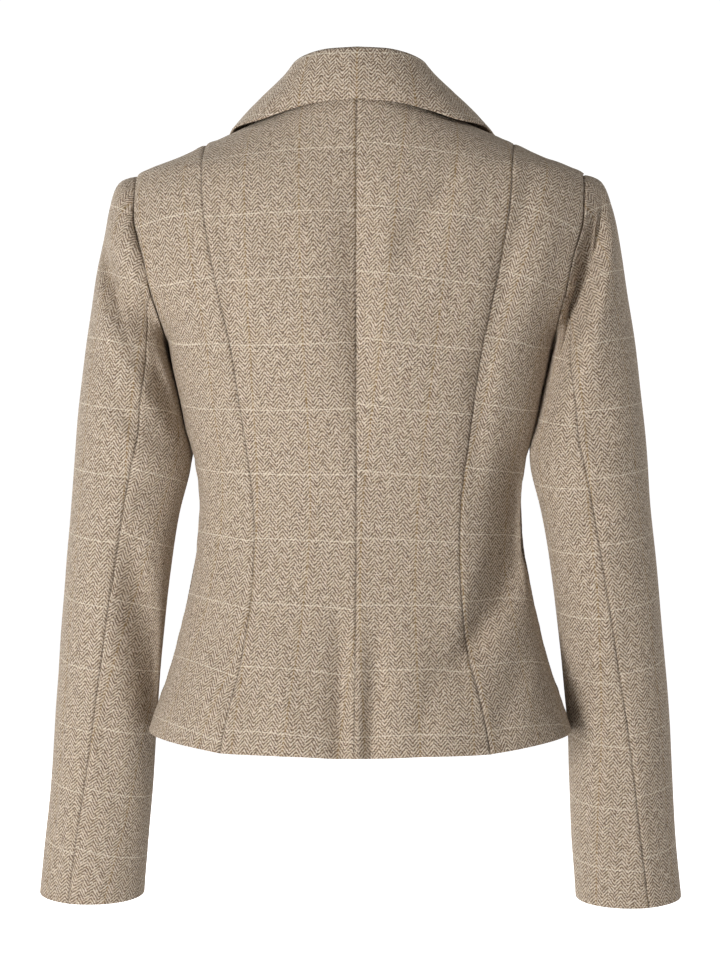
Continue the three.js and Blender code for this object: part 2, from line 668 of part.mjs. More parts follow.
// Half of the neck edge, from the nape round the side of the neck to the gorge
const neckHalf = [
  ...neckEdge.map((place) => ({ ...place, face: 1 })),
  ...frontEdgeLine.slice(1, ROLL_ROWS + 1).map((place) => ({ ...place, face: -1 })),
];
const neckStops = neckHalf.map((_, i) => {
  if (i <= NECK_COLUMNS) return (AT_NECK_SIDE * i) / NECK_COLUMNS;
  return mix(AT_NECK_SIDE, AT_GORGE, (i - NECK_COLUMNS) / ROLL_ROWS);
});

function neckFrame(index) {
  const at = (i) => {
    const place = neckHalf[Math.min(Math.max(i, 0), neckHalf.length - 1)];
    return bodyPoint(place.x, place.z, place.face, -CLOTH / 2);
  };
  const point = at(index);
  const before = index === 0 ? at(1).multiply(new THREE.Vector3(-1, 1, 1)) : at(index - 1);
  const normal = formNormal(point);
  const towards = new THREE.Vector3(-point.x, -point.y, 0);
  return { point, normal, inward: inwardWay(before, at(index + 1), normal, towards) };
}

// The fold of a lapel just stands off the roll line
function rollFold(frame) {
  const fold = frame.point.clone().addScaledVector(frame.normal, CLOTH / 2 + ROLL_UP);
  return fold.addScaledVector(frame.inward, ROLL_OUT);
}

const gorgeFold = rollFold(neckFrame(neckHalf.length - 1));
const collarRows = [
  ...COLLAR_SECTIONS,
  { ...COLLAR_NOTCH, foldX: gorgeFold.x, foldY: gorgeFold.y, foldZ: gorgeFold.z },
].map((row) => {
  const end = bodyPoint(row.edgeX, row.edgeZ, row.face, row.lift + CLOTH / 2);
  return { ...row, endX: end.x, endY: end.y, endZ: end.z };
});
const collarAt = Object.fromEntries(
  ['foldX', 'foldY', 'foldZ', 'endX', 'endY', 'endZ', 'edgeX', 'edgeZ', 'lift', 'drape']
    .map((column) => [column, smoothColumn(collarRows, 'at', column)]),
);

function collarSection(index) {
  const frame = neckFrame(index);
  const at = neckStops[index];
  const fold = new THREE.Vector3(collarAt.foldX(at), collarAt.foldY(at), collarAt.foldZ(at));
  const end = new THREE.Vector3(collarAt.endX(at), collarAt.endY(at), collarAt.endZ(at));
  const bow = COLLAR_BOW * (1 - collarAt.drape(at));
  const middles = (outerSide, out) => ALONG_FALL.map((share) => {
    const straight = outerSide.clone().lerp(end, share).addScaledVector(out, bow);
    if (at < AT_NECK_SIDE) return straight;
    const x = mix(neckHalf[index].x, collarAt.edgeX(at), share);
    const z = mix(neckHalf[index].z, collarAt.edgeZ(at), share);
    const lying = bodyPoint(x, z, -1, collarAt.lift(at) + ROLL_SPRING * (1 - share) + CLOTH / 2);
    return straight.lerp(lying, collarAt.drape(at));
  });
  return sectionLine(frame.point, frame.inward, fold, middles, end);
}

const collarHalf = neckHalf.map((_, index) => collarSection(index));
const mirrored = (line) => line.map((point) => point.clone().setX(-point.x));
const collarGrid = [...collarHalf.slice(1).reverse().map(mirrored), ...collarHalf];
addMesh('collar', wallAround(collarGrid), TWEED);

const lapelEdgeX = smoothColumn(LAPEL_SECTIONS, 'rollZ', 'edgeX');
const lapelEdgeZ = smoothColumn(LAPEL_SECTIONS, 'rollZ', 'edgeZ');

function lapelSection(z, sign) {
  const onFront = (x, z, lift) => bodyPoint(x, z, -1, frontLift(x, z, sign) + lift);
  const x = rollX(z);
  const point = onFront(x, z, -CLOTH / 2);
  const normal = formNormal(point);
  const towards = new THREE.Vector3(-1, 0, 0);
  const above = onFront(rollX(z + 2), z + 2, 0);
  const below = onFront(rollX(z - 2), z - 2, 0);
  const inward = inwardWay(above, below, normal, towards);
  const end = onFront(lapelEdgeX(z), lapelEdgeZ(z), OVER_CHEST + CLOTH / 2);
  const middles = () => ALONG_FALL.map((share) => onFront(
    mix(x, lapelEdgeX(z), share),
    mix(z, lapelEdgeZ(z), share),
    OVER_CHEST + ROLL_SPRING * (1 - share) + CLOTH / 2,
  ));
  return sectionLine(point, inward, rollFold({ point, normal, inward }), middles, end);
}

const SHORTEST_STEP = 6;
const rollHeights = frontEdgeLine.slice(ROLL_ROWS + 1, BREAK_ROW).map((place) => place.z);

// A lapel has its sections at the heights of the front's rows, so that their edges run together
function lapelGrid(endZ, sign) {
  const heights = [
    GORGE_Z - GORGE_GAP,
    ...rollHeights.filter((z) => z > endZ + SHORTEST_STEP),
    endZ,
  ];
  return heights.map((z) =>
    lapelSection(z, sign).map((point) => point.setX(sign * point.x)));
}

addMesh('lapel_left', wallAround(lapelGrid(LEFT_LAPEL_END_Z, 1)), TWEED);
addMesh('lapel_right', wallAround(lapelGrid(RIGHT_LAPEL_END_Z, -1)), TWEED);

// A button: a dished disc on a short shank
function buttonGeometry() {
  const rim = 1.2;
  const profile = [
    [0, 0],
    [BUTTON_SHANK, 0],
    [BUTTON_SHANK, BUTTON_SHANK],
    [BUTTON_RADIUS - rim, BUTTON_SHANK],
    [BUTTON_RADIUS, BUTTON_SHANK + rim],
    [BUTTON_RADIUS, BUTTON_SHANK + BUTTON_THICK - rim],
    [BUTTON_RADIUS - rim, BUTTON_SHANK + BUTTON_THICK],
    [BUTTON_RADIUS - 3 * rim, BUTTON_SHANK + BUTTON_THICK - rim],
    [0, BUTTON_SHANK + BUTTON_THICK - rim],
  ];
  return new THREE.LatheGeometry(profile.map(([r, h]) => new THREE.Vector2(r, h)), 20);
}

BUTTON_HEIGHTS.forEach((z, index) => {
  const seat = bodyPoint(0, z, -1, frontLift(0, z, -1) + SEAM_GAP);
  const button = addMesh(`button_${index + 1}`, buttonGeometry(), HORN);
  button.position.copy(seat);
  button.quaternion.setFromUnitVectors(new THREE.Vector3(0, 1, 0), formNormal(seat));
});

export default jacket;
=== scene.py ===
import math

import bpy
import numpy as np
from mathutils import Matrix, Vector


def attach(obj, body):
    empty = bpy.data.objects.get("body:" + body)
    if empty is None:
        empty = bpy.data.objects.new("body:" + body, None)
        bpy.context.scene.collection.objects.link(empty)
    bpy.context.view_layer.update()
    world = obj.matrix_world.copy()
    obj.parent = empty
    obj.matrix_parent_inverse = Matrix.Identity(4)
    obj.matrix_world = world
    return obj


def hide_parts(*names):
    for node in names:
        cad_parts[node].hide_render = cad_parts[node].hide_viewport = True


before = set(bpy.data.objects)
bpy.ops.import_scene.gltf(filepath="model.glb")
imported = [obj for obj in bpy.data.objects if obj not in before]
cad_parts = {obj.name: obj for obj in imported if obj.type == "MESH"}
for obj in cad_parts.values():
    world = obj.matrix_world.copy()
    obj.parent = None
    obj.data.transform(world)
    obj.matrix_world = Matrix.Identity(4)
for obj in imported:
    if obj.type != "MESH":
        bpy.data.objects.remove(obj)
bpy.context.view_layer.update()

# A short fitted tweed jacket seen from behind. All shapes are worked out in millimetres in the
# frame of the solids (front -Y, wearer's left +X) and turned into metres when a mesh is made.

MM = 0.001
# Sizes of the cloth, its seams and its layers
CLOTH = 2.0
SEAM_GAP = 0.3
LAYER_GAP = 1.1

# Heights and places that the cut is built on
NAPE_Z = 24
NECK_POINT_X = 66
NECK_POINT_Z = 6
SHOULDER_TIP_Z = -51
UNDERARM_Z = -190
BLADE_Z = -198
GORGE_Z = -28
BREAK_Z = -240
HEM_BACK_Z = -533
HEM_SIDE_Z = -523
HEM_FRONT_Z = -536
HEM_SWEEP = 4
FRONT_WRAP = 20
LIFT_FULL_X = 46
LIFT_END_X = 92
LIFT_TOP_Z = -100
LIFT_FULL_Z = -168

# How the rows and columns of the pieces are numbered and spaced
ARMHOLE_STEPS = 12
BODY_STEPS = 14
ROWS = ARMHOLE_STEPS + BODY_STEPS
NECK_COLUMNS = 6
SHOULDER_COLUMNS = 3
SIDE_COLUMNS = 6
ROLL_ROWS = 5
BREAK_ROW = 13
TOP_CROWD = 1.6
ROLL_CROWD = 1.8
ON_EDGE = 0.9996
SHOULDER_SAMPLES = 1500

# Level sections of the body: z, half width, back, front, side, fullness
BODY_SECTIONS = np.array([
    (34, 40, 47, -34, -5, 2.0), (24, 49, 52, -38, -5, 2.0), (6, 66, 61, -50, -5, 2.05),
    (-17, 112, 70, -60, -5, 2.1), (-34, 150.5, 76, -66, -5, 2.17),
    (-51, 189, 82, -73, -5, 2.25), (-72, 200, 87, -81, -4, 2.4),
    (-93, 203, 91, -90, -3, 2.4), (-131, 199, 95, -105, -1, 2.4), (-152, 188, 95, -113, 0, 2.4),
    (-171, 175, 94, -118, 0, 2.4), (-190, 164, 92, -121, 0, 2.4), (-214, 159, 89, -122, 0, 2.35),
    (-236, 154, 86, -120, 0, 2.3), (-267, 147.5, 80, -113, 0, 2.25), (-295, 140, 75, -105, 0, 2.2),
    (-326, 136.4, 72, -99, 0, 2.2), (-360, 138, 74, -99, 0, 2.2), (-394, 143.7, 80, -103, 0, 2.2),
    (-428, 150.9, 89, -109, 0, 2.2), (-462, 159.4, 100, -115, 0, 2.2), (-496, 171, 111, -121, 0, 2.2),
    (-524, 180, 119, -126, 0, 2.2), (-545, 186, 124, -129, 0, 2.2),
])
# The shoulder princess seam: z, x
PRINCESS = np.array([
    (-24, 130), (-76, 127.5), (-122, 120.4), (-171, 110.3), (-197, 104.6), (-233, 99.1),
    (-283, 92.1), (-335, 86.3), (-359, 85.7), (-384, 86.3), (-412, 88.4), (-452, 94.5),
    (-504, 106.3), (-533, 111.5),
])
# The armhole's edge: z, x on the back, x on the front
ARMHOLE = np.array([
    (-51, 189, 189), (-73, 188.7, 184), (-93, 187.7, 178.5), (-104, 185, 175), (-118, 181, 171),
    (-131, 177.6, 168), (-152, 173.5, 165), (-171, 168, 164), (-190, 164, 164),
])
# The neck's edge on the back: x, z
BACK_NECK = np.array([(0, 24), (24, 22.5), (44, 17.5), (58, 11.5), (66, 6)])

# Soft folds of the back: x, z, rise, half width across, half length, slant
BODY_FOLDS = np.array([
    (0, -150, -5, 26, 95, 0), (34, -150, 2, 24, 80, 0), (-34, -150, 2.5, 24, 80, 0),
    (12, -520, -6, 13, 75, 0.02), (-4, -530, 3, 9, 60, 0), (-14, -525, -5, 10, 60, -0.03),
    (60, -525, 3.5, 30, 70, -0.1), (-62, -525, 3, 30, 70, 0.1), (-104, -425, -6, 16, 55, -0.45),
    (118, -440, -3, 16, 50, 0.35),
])

# Rings down the sleeve: outX, outZ, inX, inZ, y, back, front, dip, tuck
SLEEVE_RINGS = np.array([
    (204, -56.5, 165.3, -193, 1, 51, 50, 0, 0), (213.5, -80, 163.8, -199, 1, 54, 53, 0, 3),
    (221.3, -118, 160, -214, 1, 57, 56, 0, 7), (227.5, -160, 155, -236, 1, 58, 56, 0, 9),
    (234, -203, 149.8, -261, 2, 57, 55, 0, 9), (239.5, -250, 144.4, -282, 2, 55, 53, 1, 9),
    (243.3, -292, 144.6, -299, 2, 53, 51, 1, 6), (246.6, -336, 154, -338, 0, 50, 49, 2, 1),
    (253, -394, 163.6, -396, -7, 47, 47, 3, 0), (259.5, -463, 171.7, -465, -17, 45, 45, 4, 0),
    (264.5, -516, 176.7, -518, -26, 43, 43, 4, 0), (270, -586, 181, -588, -38, 42, 42, 5, 0),
    (279.7, -671, 188.5, -672, -54, 41, 41, 5, 0),
])
CUFF_SWING = {"left": 2.8, "right": -3.2}
SWING_RING = 11
TUCK_TURN = 220
TUCK_LONG = 18
# Turns of the back and the front sleeve seam at each ring, from the armhole on
SLEEVE_SEAMS = np.array([
    (120, 120), (119, 118), (118, 118), (117, 118), (113, 118), (107, 118), (101, 118),
    (96, 118), (94, 118), (91, 120), (86, 122), (81.5, 124), (74, 126), (69, 128),
])
# Soft folds of the sleeves: ring, turn, rise, rings wide, turn long, slant
SLEEVE_FOLDS = {
    "left": [(3.4, 62, -6, 0.55, 42, 0.016), (5.6, 118, -5, 0.7, 34, 0.02),
             (7.6, 128, -3, 0.5, 30, -0.01)],
    "right": [(2.2, 66, -6, 0.6, 38, 0.02), (5.4, 104, -4, 0.8, 30, 0.016),
              (7.4, 120, -3, 0.6, 30, -0.01)],
}

# Finer creases, placed as soft lines on the side that they show from: x, z, the way
# they run in degrees from level, half length, half width, rise (a trough is negative)
BACK_CREASES = [
    (-3, -152, 88, 88, 13, -7.0), (-2, -238, 89, 60, 8, -3.0), (-24, -140, 92, 70, 10, 1.6),
    (103, -132, 86, 46, 9, -4.0), (97, -216, 82, 56, 9, -3.4), (126, -168, 96, 50, 10, -2.6),
    (-131, -102, 108, 48, 10, -5.4), (-112, -182, 104, 62, 10, -6.0), (-99, -264, 98, 54, 10, -5.2),
    (-148, -150, 104, 60, 9, 2.4), (-58, -98, 117, 46, 11, -5.4), (-36, -122, 114, 40, 10, -3.6),
    (-82, -106, 112, 38, 9, 2.0), (-46, -150, 110, 40, 9, -1.8), (58, -118, 66, 40, 10, -1.8),
    (-130, -346, 100, 66, 17, -22.0), (-112, -424, 124, 44, 12, -8.0), (-86, -452, 130, 34, 9, -3.4),
    (-94, -392, 118, 40, 9, 2.4), (116, -330, 80, 50, 10, -2.6), (104, -384, 62, 40, 9, -2.4),
    (122, -414, 70, 42, 9, 2.0), (10, -486, 88, 66, 8, -5.0), (-1, -494, 90, 60, 6, 2.4),
    (-17, -492, 92, 56, 8, -4.6), (58, -480, 84, 52, 10, 2.4), (-62, -482, 100, 54, 10, -3.6),
    (92, -474, 76, 50, 9, -2.0), (140, -484, 74, 46, 10, -3.0), (-126, -492, 108, 46, 11, -3.4),
    (-148, -480, 104, 44, 9, 2.0),
]
FRONT_CREASES = [
    (112, -196, 118, 44, 9, -2.6), (-112, -190, 62, 42, 9, -2.4), (124, -310, 84, 54, 11, -3.2),
    (-122, -318, 98, 50, 11, -3.0), (88, -352, 128, 40, 9, -2.4), (-84, -356, 54, 42, 9, -2.2),
    (70, -300, 160, 38, 8, -1.8), (-66, -304, 22, 36, 8, -1.6), (60, -460, 84, 60, 10, 2.2),
    (-64, -466, 97, 56, 10, 2.0), (110, -470, 80, 50, 11, -2.4), (-106, -476, 101, 52, 10, -2.2),
]
SLEEVE_CREASES = {
    "left": [
        (198, -150, 66, 50, 11, -14.0), (216, -164, 66, 40, 10, 3.6), (184, -124, 72, 30, 8, 2.4),
        (172, -178, 62, 24, 9, -9.0), (163, -206, 62, 22, 8, 3.4), (157, -240, 64, 42, 12, -17.0),
        (204, -226, 58, 36, 10, -3.4), (188, -262, 48, 30, 9, -3.0), (212, -258, 44, 30, 9, 2.0),
        (202, -300, 24, 30, 9, -2.6), (220, -330, -10, 28, 9, 1.8), (206, -356, 18, 26, 9, -2.0),
        (230, -392, -14, 30, 10, -1.6), (232, -470, 82, 60, 12, 1.6), (214, -548, 86, 60, 10, -1.6),
        (246, -600, 84, 50, 12, 1.4), (178, -470, 82, 104, 15, -16.0), (206, -84, 70, 20, 5, -2.0),
        (200, -98, 60, 16, 5, 1.4),
    ],
    "right": [
        (187, -128, 75, 66, 12, -14.0), (168, -200, 75, 90, 16, -22.0),
        (206, -150, 72, 60, 9, 3.0), (212, -246, 42, 36, 14, -6.5),
        (190, -286, 28, 28, 9, -3.2), (222, -196, 62, 40, 10, -3.2), (228, -228, 58, 34, 9, 2.2),
        (222, -300, -12, 30, 9, 1.8), (206, -332, 14, 30, 9, -2.4), (232, -372, -20, 28, 9, -1.8),
        (188, -356, 60, 40, 10, -4.0), (222, -470, 80, 56, 12, -2.2), (246, -520, 84, 60, 11, 1.8),
        (222, -600, 88, 56, 11, -2.2), (182, -500, 82, 70, 12, -9.0), (212, -92, 66, 22, 6, -2.2),
        (206, -78, 76, 18, 5, 1.4),
    ],
}

# Collar sections: at, foldX, foldY, foldZ, edgeX, edgeZ, face, lift, drape
COLLAR_SECTIONS = [
    (0, 0, 50, 51, 0, 6, 1, 2.6, 0), (1, 23, 47, 50, 30, 3, 1, 2.6, 0),
    (2, 43, 35, 46.5, 59, -4, 1, 2.6, 0), (3, 56, 15, 40.5, 83, -11, 1, 2.6, 0),
    (4, 60, -9, 33, 105, -14, 1, 2.6, 0), (4.4, 60.5, -23, 24, 113, -21, -1, 3.6, 0.2),
    (5, 59.5, -41, 9, 123, -36, -1, 3.5, 0.6), (5.6, 55.5, -56, -12, 119, -46, -1, 3, 0.8),
]
COLLAR_NOTCH = (6, None, None, None, 97, -53.4, -1, 2.6, 1)
# The lapel's outer edge: z on the roll line, x, z
LAPEL_SECTIONS = np.array([
    (-28, 133, -74.7), (-70, 118, -118), (-120, 84, -166), (-165, 46, -200), (-205, 9, -226),
    (-230, -7, -238),
])
LAPEL_ENDS = {"left": -160, "right": -230}
ROLL_OUT = 3
ROLL_UP = 2.2
FOLD_RADIUS = 2.6
FOLD_DROP = 2.5

SIDES = {"left": 1, "right": -1}


# Tables as smooth functions

def smooth_column(t, v):
    """A smooth line through a table's column that never overshoots it."""
    order = np.argsort(t)
    t = np.asarray(t, float)[order]
    v = np.asarray(v, float)[order]
    gap = np.diff(t)
    rate = np.diff(v) / gap
    slope = np.zeros(len(v))
    slope[0], slope[-1] = rate[0], rate[-1]
    a = 2 * gap[1:] + gap[:-1]
    b = gap[1:] + 2 * gap[:-1]
    same = rate[:-1] * rate[1:] > 0
    inner = np.zeros(len(v) - 2)
    inner[same] = ((a + b)[same] / (a[same] / rate[:-1][same] + b[same] / rate[1:][same]))
    slope[1:-1] = inner

    def value(at):
        x = np.clip(at, t[0], t[-1])
        i = np.clip(np.searchsorted(t, x) - 1, 0, len(t) - 2)
        h = t[i + 1] - t[i]
        u = (x - t[i]) / h
        start = (1 + 2 * u) * (1 - u) ** 2 * v[i] + u * (1 - u) ** 2 * h * slope[i]
        return start + u * u * (3 - 2 * u) * v[i + 1] + u * u * (u - 1) * h * slope[i + 1]
    return value


def mix(a, b, t):
    return a + (b - a) * t


def soften(u):
    t = np.clip(u, 0, 1)
    return t * t * (3 - 2 * t)


def unit(v):
    return v / np.maximum(np.linalg.norm(v, axis=-1, keepdims=True), 1e-12)


def point_of(x, y, z):
    return np.stack(np.broadcast_arrays(x, y, z), -1).astype(float)


half_width, back_y, front_y, side_y, fullness = (
    smooth_column(BODY_SECTIONS[:, 0], BODY_SECTIONS[:, k]) for k in range(1, 6))
princess_x = smooth_column(PRINCESS[:, 0], PRINCESS[:, 1])
armhole_back_x = smooth_column(ARMHOLE[:, 0], ARMHOLE[:, 1])
armhole_front_x = smooth_column(ARMHOLE[:, 0], ARMHOLE[:, 2])
back_neck_z = smooth_column(BACK_NECK[:, 0], BACK_NECK[:, 1])


# The body's form

def form_level(x, y, z):
    """1 on the body's form, less inside it and more outside it."""
    depth = np.where(y > side_y(z), back_y(z) - side_y(z), side_y(z) - front_y(z))
    n = fullness(z)
    return (np.abs(x) / half_width(z)) ** n + (np.abs(y - side_y(z)) / depth) ** n


NORMAL_STEP = 0.5


def form_normal(p):
    x, y, z = p[..., 0], p[..., 1], p[..., 2]
    h = NORMAL_STEP
    return unit(point_of(
        form_level(x + h, y, z) - form_level(x - h, y, z),
        form_level(x, y + h, z) - form_level(x, y - h, z),
        form_level(x, y, z + h) - form_level(x, y, z - h)))


def bumps(x, z, folds):
    total = np.zeros(np.broadcast(x, z).shape)
    for fx, fz, rise, wide, long, slant in folds:
        across = (x - fx - slant * (z - fz)) / wide
        total = total + rise * np.exp(-across ** 2 - ((z - fz) / long) ** 2)
    return total


def body_point(x, z, face, lift=0.0):
    """The place on the back (face 1) or the front (face -1) of the body, with its soft folds."""
    x, z, face = np.broadcast_arrays(np.asarray(x, float), np.asarray(z, float), face)
    n = fullness(z)
    reach = np.abs(x) / half_width(z)
    reach = np.where(reach > ON_EDGE, 1.0, reach)
    depth = np.where(face > 0, back_y(z) - side_y(z), side_y(z) - front_y(z))
    y = side_y(z) + face * depth * np.maximum(1 - reach ** n, 0) ** (1 / n)
    p = point_of(x, y, z)
    rise = np.where(face > 0, bumps(x, z, BODY_FOLDS), 0.0) + lift
    return p + form_normal(p) * rise[..., None]


def row_height(row, top, middle, hem, crowd):
    upper = mix(top, middle, (np.minimum(row, ARMHOLE_STEPS) / ARMHOLE_STEPS) ** crowd)
    lower = mix(middle, hem, (row - ARMHOLE_STEPS) / BODY_STEPS)
    return np.where(row <= ARMHOLE_STEPS, upper, lower)


def hem_height(x, face):
    reach = min(abs(x) / float(half_width(HEM_SIDE_Z)), 1)
    return mix(HEM_BACK_Z if face > 0 else HEM_FRONT_Z, HEM_SIDE_Z, reach ** HEM_SWEEP)


shoulder_heights = np.linspace(SHOULDER_TIP_Z, NAPE_Z, SHOULDER_SAMPLES)
shoulder_widths = half_width(shoulder_heights)


def shoulder_z(x):
    return np.interp(x, shoulder_widths[::-1], shoulder_heights[::-1])


shoulder_tip_x = float(armhole_back_x(SHOULDER_TIP_Z))
princess_top_x = float(princess_x(PRINCESS[0][0]))
princess_hem_z = hem_height(float(princess_x(HEM_BACK_Z)), 1)


def centre_back_line(row):
    return np.zeros_like(row), row_height(row, NAPE_Z, BLADE_Z, hem_height(0, 1), 1)


def princess_line(row):
    z = row_height(row, shoulder_z(princess_top_x), BLADE_Z, princess_hem_z, TOP_CROWD)
    return princess_x(z), z


def armhole_height(step):
    middle = (SHOULDER_TIP_Z + UNDERARM_Z) / 2
    reach = (SHOULDER_TIP_Z - UNDERARM_Z) / 2
    return middle + reach * np.cos(step / ARMHOLE_STEPS * math.pi)


def side_line(face):
    def line(row):
        hole = armhole_height(np.minimum(row, ARMHOLE_STEPS))
        z = mix(UNDERARM_Z, HEM_SIDE_Z, (row - ARMHOLE_STEPS) / BODY_STEPS)
        x = armhole_back_x(hole) if face > 0 else armhole_front_x(hole)
        below = row >= ARMHOLE_STEPS
        return np.where(below, half_width(z), x), np.where(below, z, hole)
    return line


def roll_x(z):
    return mix(NECK_POINT_X, -FRONT_WRAP, (NECK_POINT_Z - z) / (NECK_POINT_Z - BREAK_Z))


def front_edge_line(row):
    gorge = mix(NECK_POINT_Z, GORGE_Z, (np.minimum(row, ROLL_ROWS) / ROLL_ROWS) ** ROLL_CROWD)
    roll = mix(GORGE_Z, BREAK_Z, (row - ROLL_ROWS) / (BREAK_ROW - ROLL_ROWS))
    skirt = mix(BREAK_Z, HEM_FRONT_Z, (row - BREAK_ROW) / (ROWS - BREAK_ROW))
    z = np.where(row <= ROLL_ROWS, gorge, np.where(row <= BREAK_ROW, roll, skirt))
    return np.where(row <= BREAK_ROW, roll_x(z), -FRONT_WRAP), z


def neck_edge(column):
    x = NECK_POINT_X * np.sin(column / NECK_COLUMNS * math.pi / 2)
    return x, back_neck_z(x)


def shoulder_edge(column):
    inner = mix(NECK_POINT_X, princess_top_x, np.minimum(column, SHOULDER_COLUMNS) / SHOULDER_COLUMNS)
    beyond = np.maximum(column - SHOULDER_COLUMNS, 0) / SIDE_COLUMNS
    outer = mix(princess_top_x, shoulder_tip_x, np.sin(beyond * math.pi / 2))
    x = np.where(column <= SHOULDER_COLUMNS, inner, outer)
    return x, shoulder_z(x)


def back_top(column):
    nx, nz = neck_edge(np.minimum(column, NECK_COLUMNS))
    sx, sz = shoulder_edge(np.maximum(column - NECK_COLUMNS, 0))
    return np.where(column <= NECK_COLUMNS, nx, sx), np.where(column <= NECK_COLUMNS, nz, sz)


def side_back_top(column):
    return shoulder_edge(column + SHOULDER_COLUMNS)


# The pieces as surfaces over rows and columns

def filled_piece(near, far, top, columns, crowd, sign, face, lift=None):
    """A panel of the body between two long edges, with its top edge bent to the given line."""
    def place(rows, cols):
        g = cols / columns
        if crowd:
            g = np.sin(g * math.pi / 2)
        g = g[None, :]
        nx, nz = (v[:, None] for v in near(rows))
        fx, fz = (v[:, None] for v in far(rows))
        first = np.zeros(1)
        n0x, n0z = near(first)
        f0x, f0z = far(first)
        tx, tz = (v[None, :] for v in top(cols))
        hold = ((1 - rows / ROWS) ** 2)[:, None]
        x = mix(nx, fx, g) + hold * (tx - mix(n0x, f0x, g))
        z = mix(nz, fz, g) + hold * (tz - mix(n0z, f0z, g))
        rise = lift(x, z) if lift else 0.0
        return body_point(sign * x, z, face, rise)
    return place


def front_lift(x, z, sign):
    """How far the right front stands off the left one that it lies on."""
    if sign > 0:
        return np.zeros(np.broadcast(x, z).shape)
    across = soften((LIFT_END_X - x) / (LIFT_END_X - LIFT_FULL_X))
    down = soften((LIFT_TOP_Z - z) / (LIFT_TOP_Z - LIFT_FULL_Z))
    return (CLOTH + LAYER_GAP) * across * down


def through_knots(knots, t):
    """Centripetal Catmull-Rom through knots (..., k, 3) at the knot numbers t, ends reflected."""
    first = 2 * knots[..., :1, :] - knots[..., 1:2, :]
    last = 2 * knots[..., -1:, :] - knots[..., -2:-1, :]
    k = np.concatenate([first, knots, last], -2)
    i = np.clip(np.floor(t).astype(int), 0, knots.shape[-2] - 2)
    w = (t - i)[:, None]
    p0, p1, p2, p3 = (k[..., i + s, :] for s in range(4))
    d0, d1, d2 = (np.sqrt(np.linalg.norm(b - a, axis=-1, keepdims=True))
                  for a, b in ((p0, p1), (p1, p2), (p2, p3)))
    t1 = ((p1 - p0) / d0 - (p2 - p0) / (d0 + d1) + (p2 - p1) / d1) * d1
    t2 = ((p2 - p1) / d1 - (p3 - p1) / (d1 + d2) + (p3 - p2) / d2) * d1
    return p1 + w * (t1 + w * (3 * (p2 - p1) - 2 * t1 - t2 + w * (2 * (p1 - p2) + t1 + t2)))


RINGS = len(SLEEVE_RINGS)
UPPER_COLUMNS = 16
UNDER_COLUMNS = 8
back_seam_at = smooth_column(np.arange(RINGS + 1), SLEEVE_SEAMS[:, 0])
front_seam_at = smooth_column(np.arange(RINGS + 1), SLEEVE_SEAMS[:, 1])


def turn_at(column, back, front):
    upper = mix(-front, back, column / UPPER_COLUMNS)
    under = mix(back, 360 - front, (column - UPPER_COLUMNS) / UNDER_COLUMNS)
    return np.where(column <= UPPER_COLUMNS, upper, under)


def armhole_point(turn):
    around = np.where(turn > 180, turn - 360, turn)
    z = armhole_height(np.abs(around) / 180 * ARMHOLE_STEPS)
    face = np.where(around < 0, -1, 1)
    return body_point(np.where(face > 0, armhole_back_x(z), armhole_front_x(z)), z, face)


def ring_point(ring, turn):
    out_x, out_z, in_x, in_z, y, back, front, dip, tuck = ring
    across = (1 + np.cos(np.radians(turn))) / 2
    along = np.sin(np.radians(turn))
    depth = np.where(along > 0, back, front)
    tucked = tuck * np.exp(-((turn % 360 - TUCK_TURN) / TUCK_LONG) ** 2)
    return point_of(mix(in_x, out_x, across) - tucked, y + depth * along,
                    mix(in_z, out_z, across) - dip * along)


def sleeve_piece(sign, folds, swing):
    """The sleeve from the armhole through its rings, as rows along it and columns round it."""
    def place(rows, cols):
        knots = [armhole_point(turn_at(cols, *SLEEVE_SEAMS[0]))]
        for ring, seams in zip(SLEEVE_RINGS, SLEEVE_SEAMS[1:]):
            knots.append(ring_point(ring, turn_at(cols, *seams)))
        p = through_knots(np.stack(knots, 1), rows).transpose(1, 0, 2)
        normal = unit(np.cross(np.gradient(p, axis=0), np.gradient(p, axis=1)))
        r = rows[:, None]
        turn = turn_at(cols[None, :], back_seam_at(r), front_seam_at(r))
        rise = np.zeros(turn.shape)
        for at, fold_turn, height, wide, long, slant in folds:
            away = turn - fold_turn
            across = (r - at - slant * away) / wide
            rise += height * np.exp(-across ** 2 - (away / long) ** 2)
        p = p + normal * (rise * soften(r))[..., None]
        p[..., 0] += swing * soften((r - SWING_RING) / (RINGS - SWING_RING))
        p[..., 0] *= sign
        return p
    return place


SECTION_LAST = 7
AT_NECK_SIDE = 4
AT_GORGE = 6
COLLAR_BOW = 2.5
OVER_CHEST = 0.9
ROLL_SPRING = 3.2
GORGE_GAP = 0.8
LAPEL_STEP = 2
MIDDLE_SHARES = (1 / 3, 2 / 3)


def inward_way(before, after, normal, towards):
    way = unit(np.cross(after - before, normal))
    return np.where((way * towards).sum(-1, keepdims=True) < 0, -way, way)


def section_knots(edge, inward, fold, middles, end):
    """The knots of a collar or lapel section: up from its seam, over the fold, out to the edge."""
    up = unit(fold - edge)
    lean = np.sqrt(np.maximum(1 - (up * inward).sum(-1, keepdims=True) ** 2, 0))
    start = edge + inward * (SEAM_GAP + CLOTH / 2 * lean)
    rise = unit(fold - start)
    out = end - fold
    out = unit(out - rise * (out * rise).sum(-1, keepdims=True))
    below = fold - rise * FOLD_DROP
    inner = below - out * FOLD_RADIUS
    outer = below + out * FOLD_RADIUS
    return np.stack([start, (start + inner) / 2, inner, fold, outer, *middles(outer, out), end], 1)


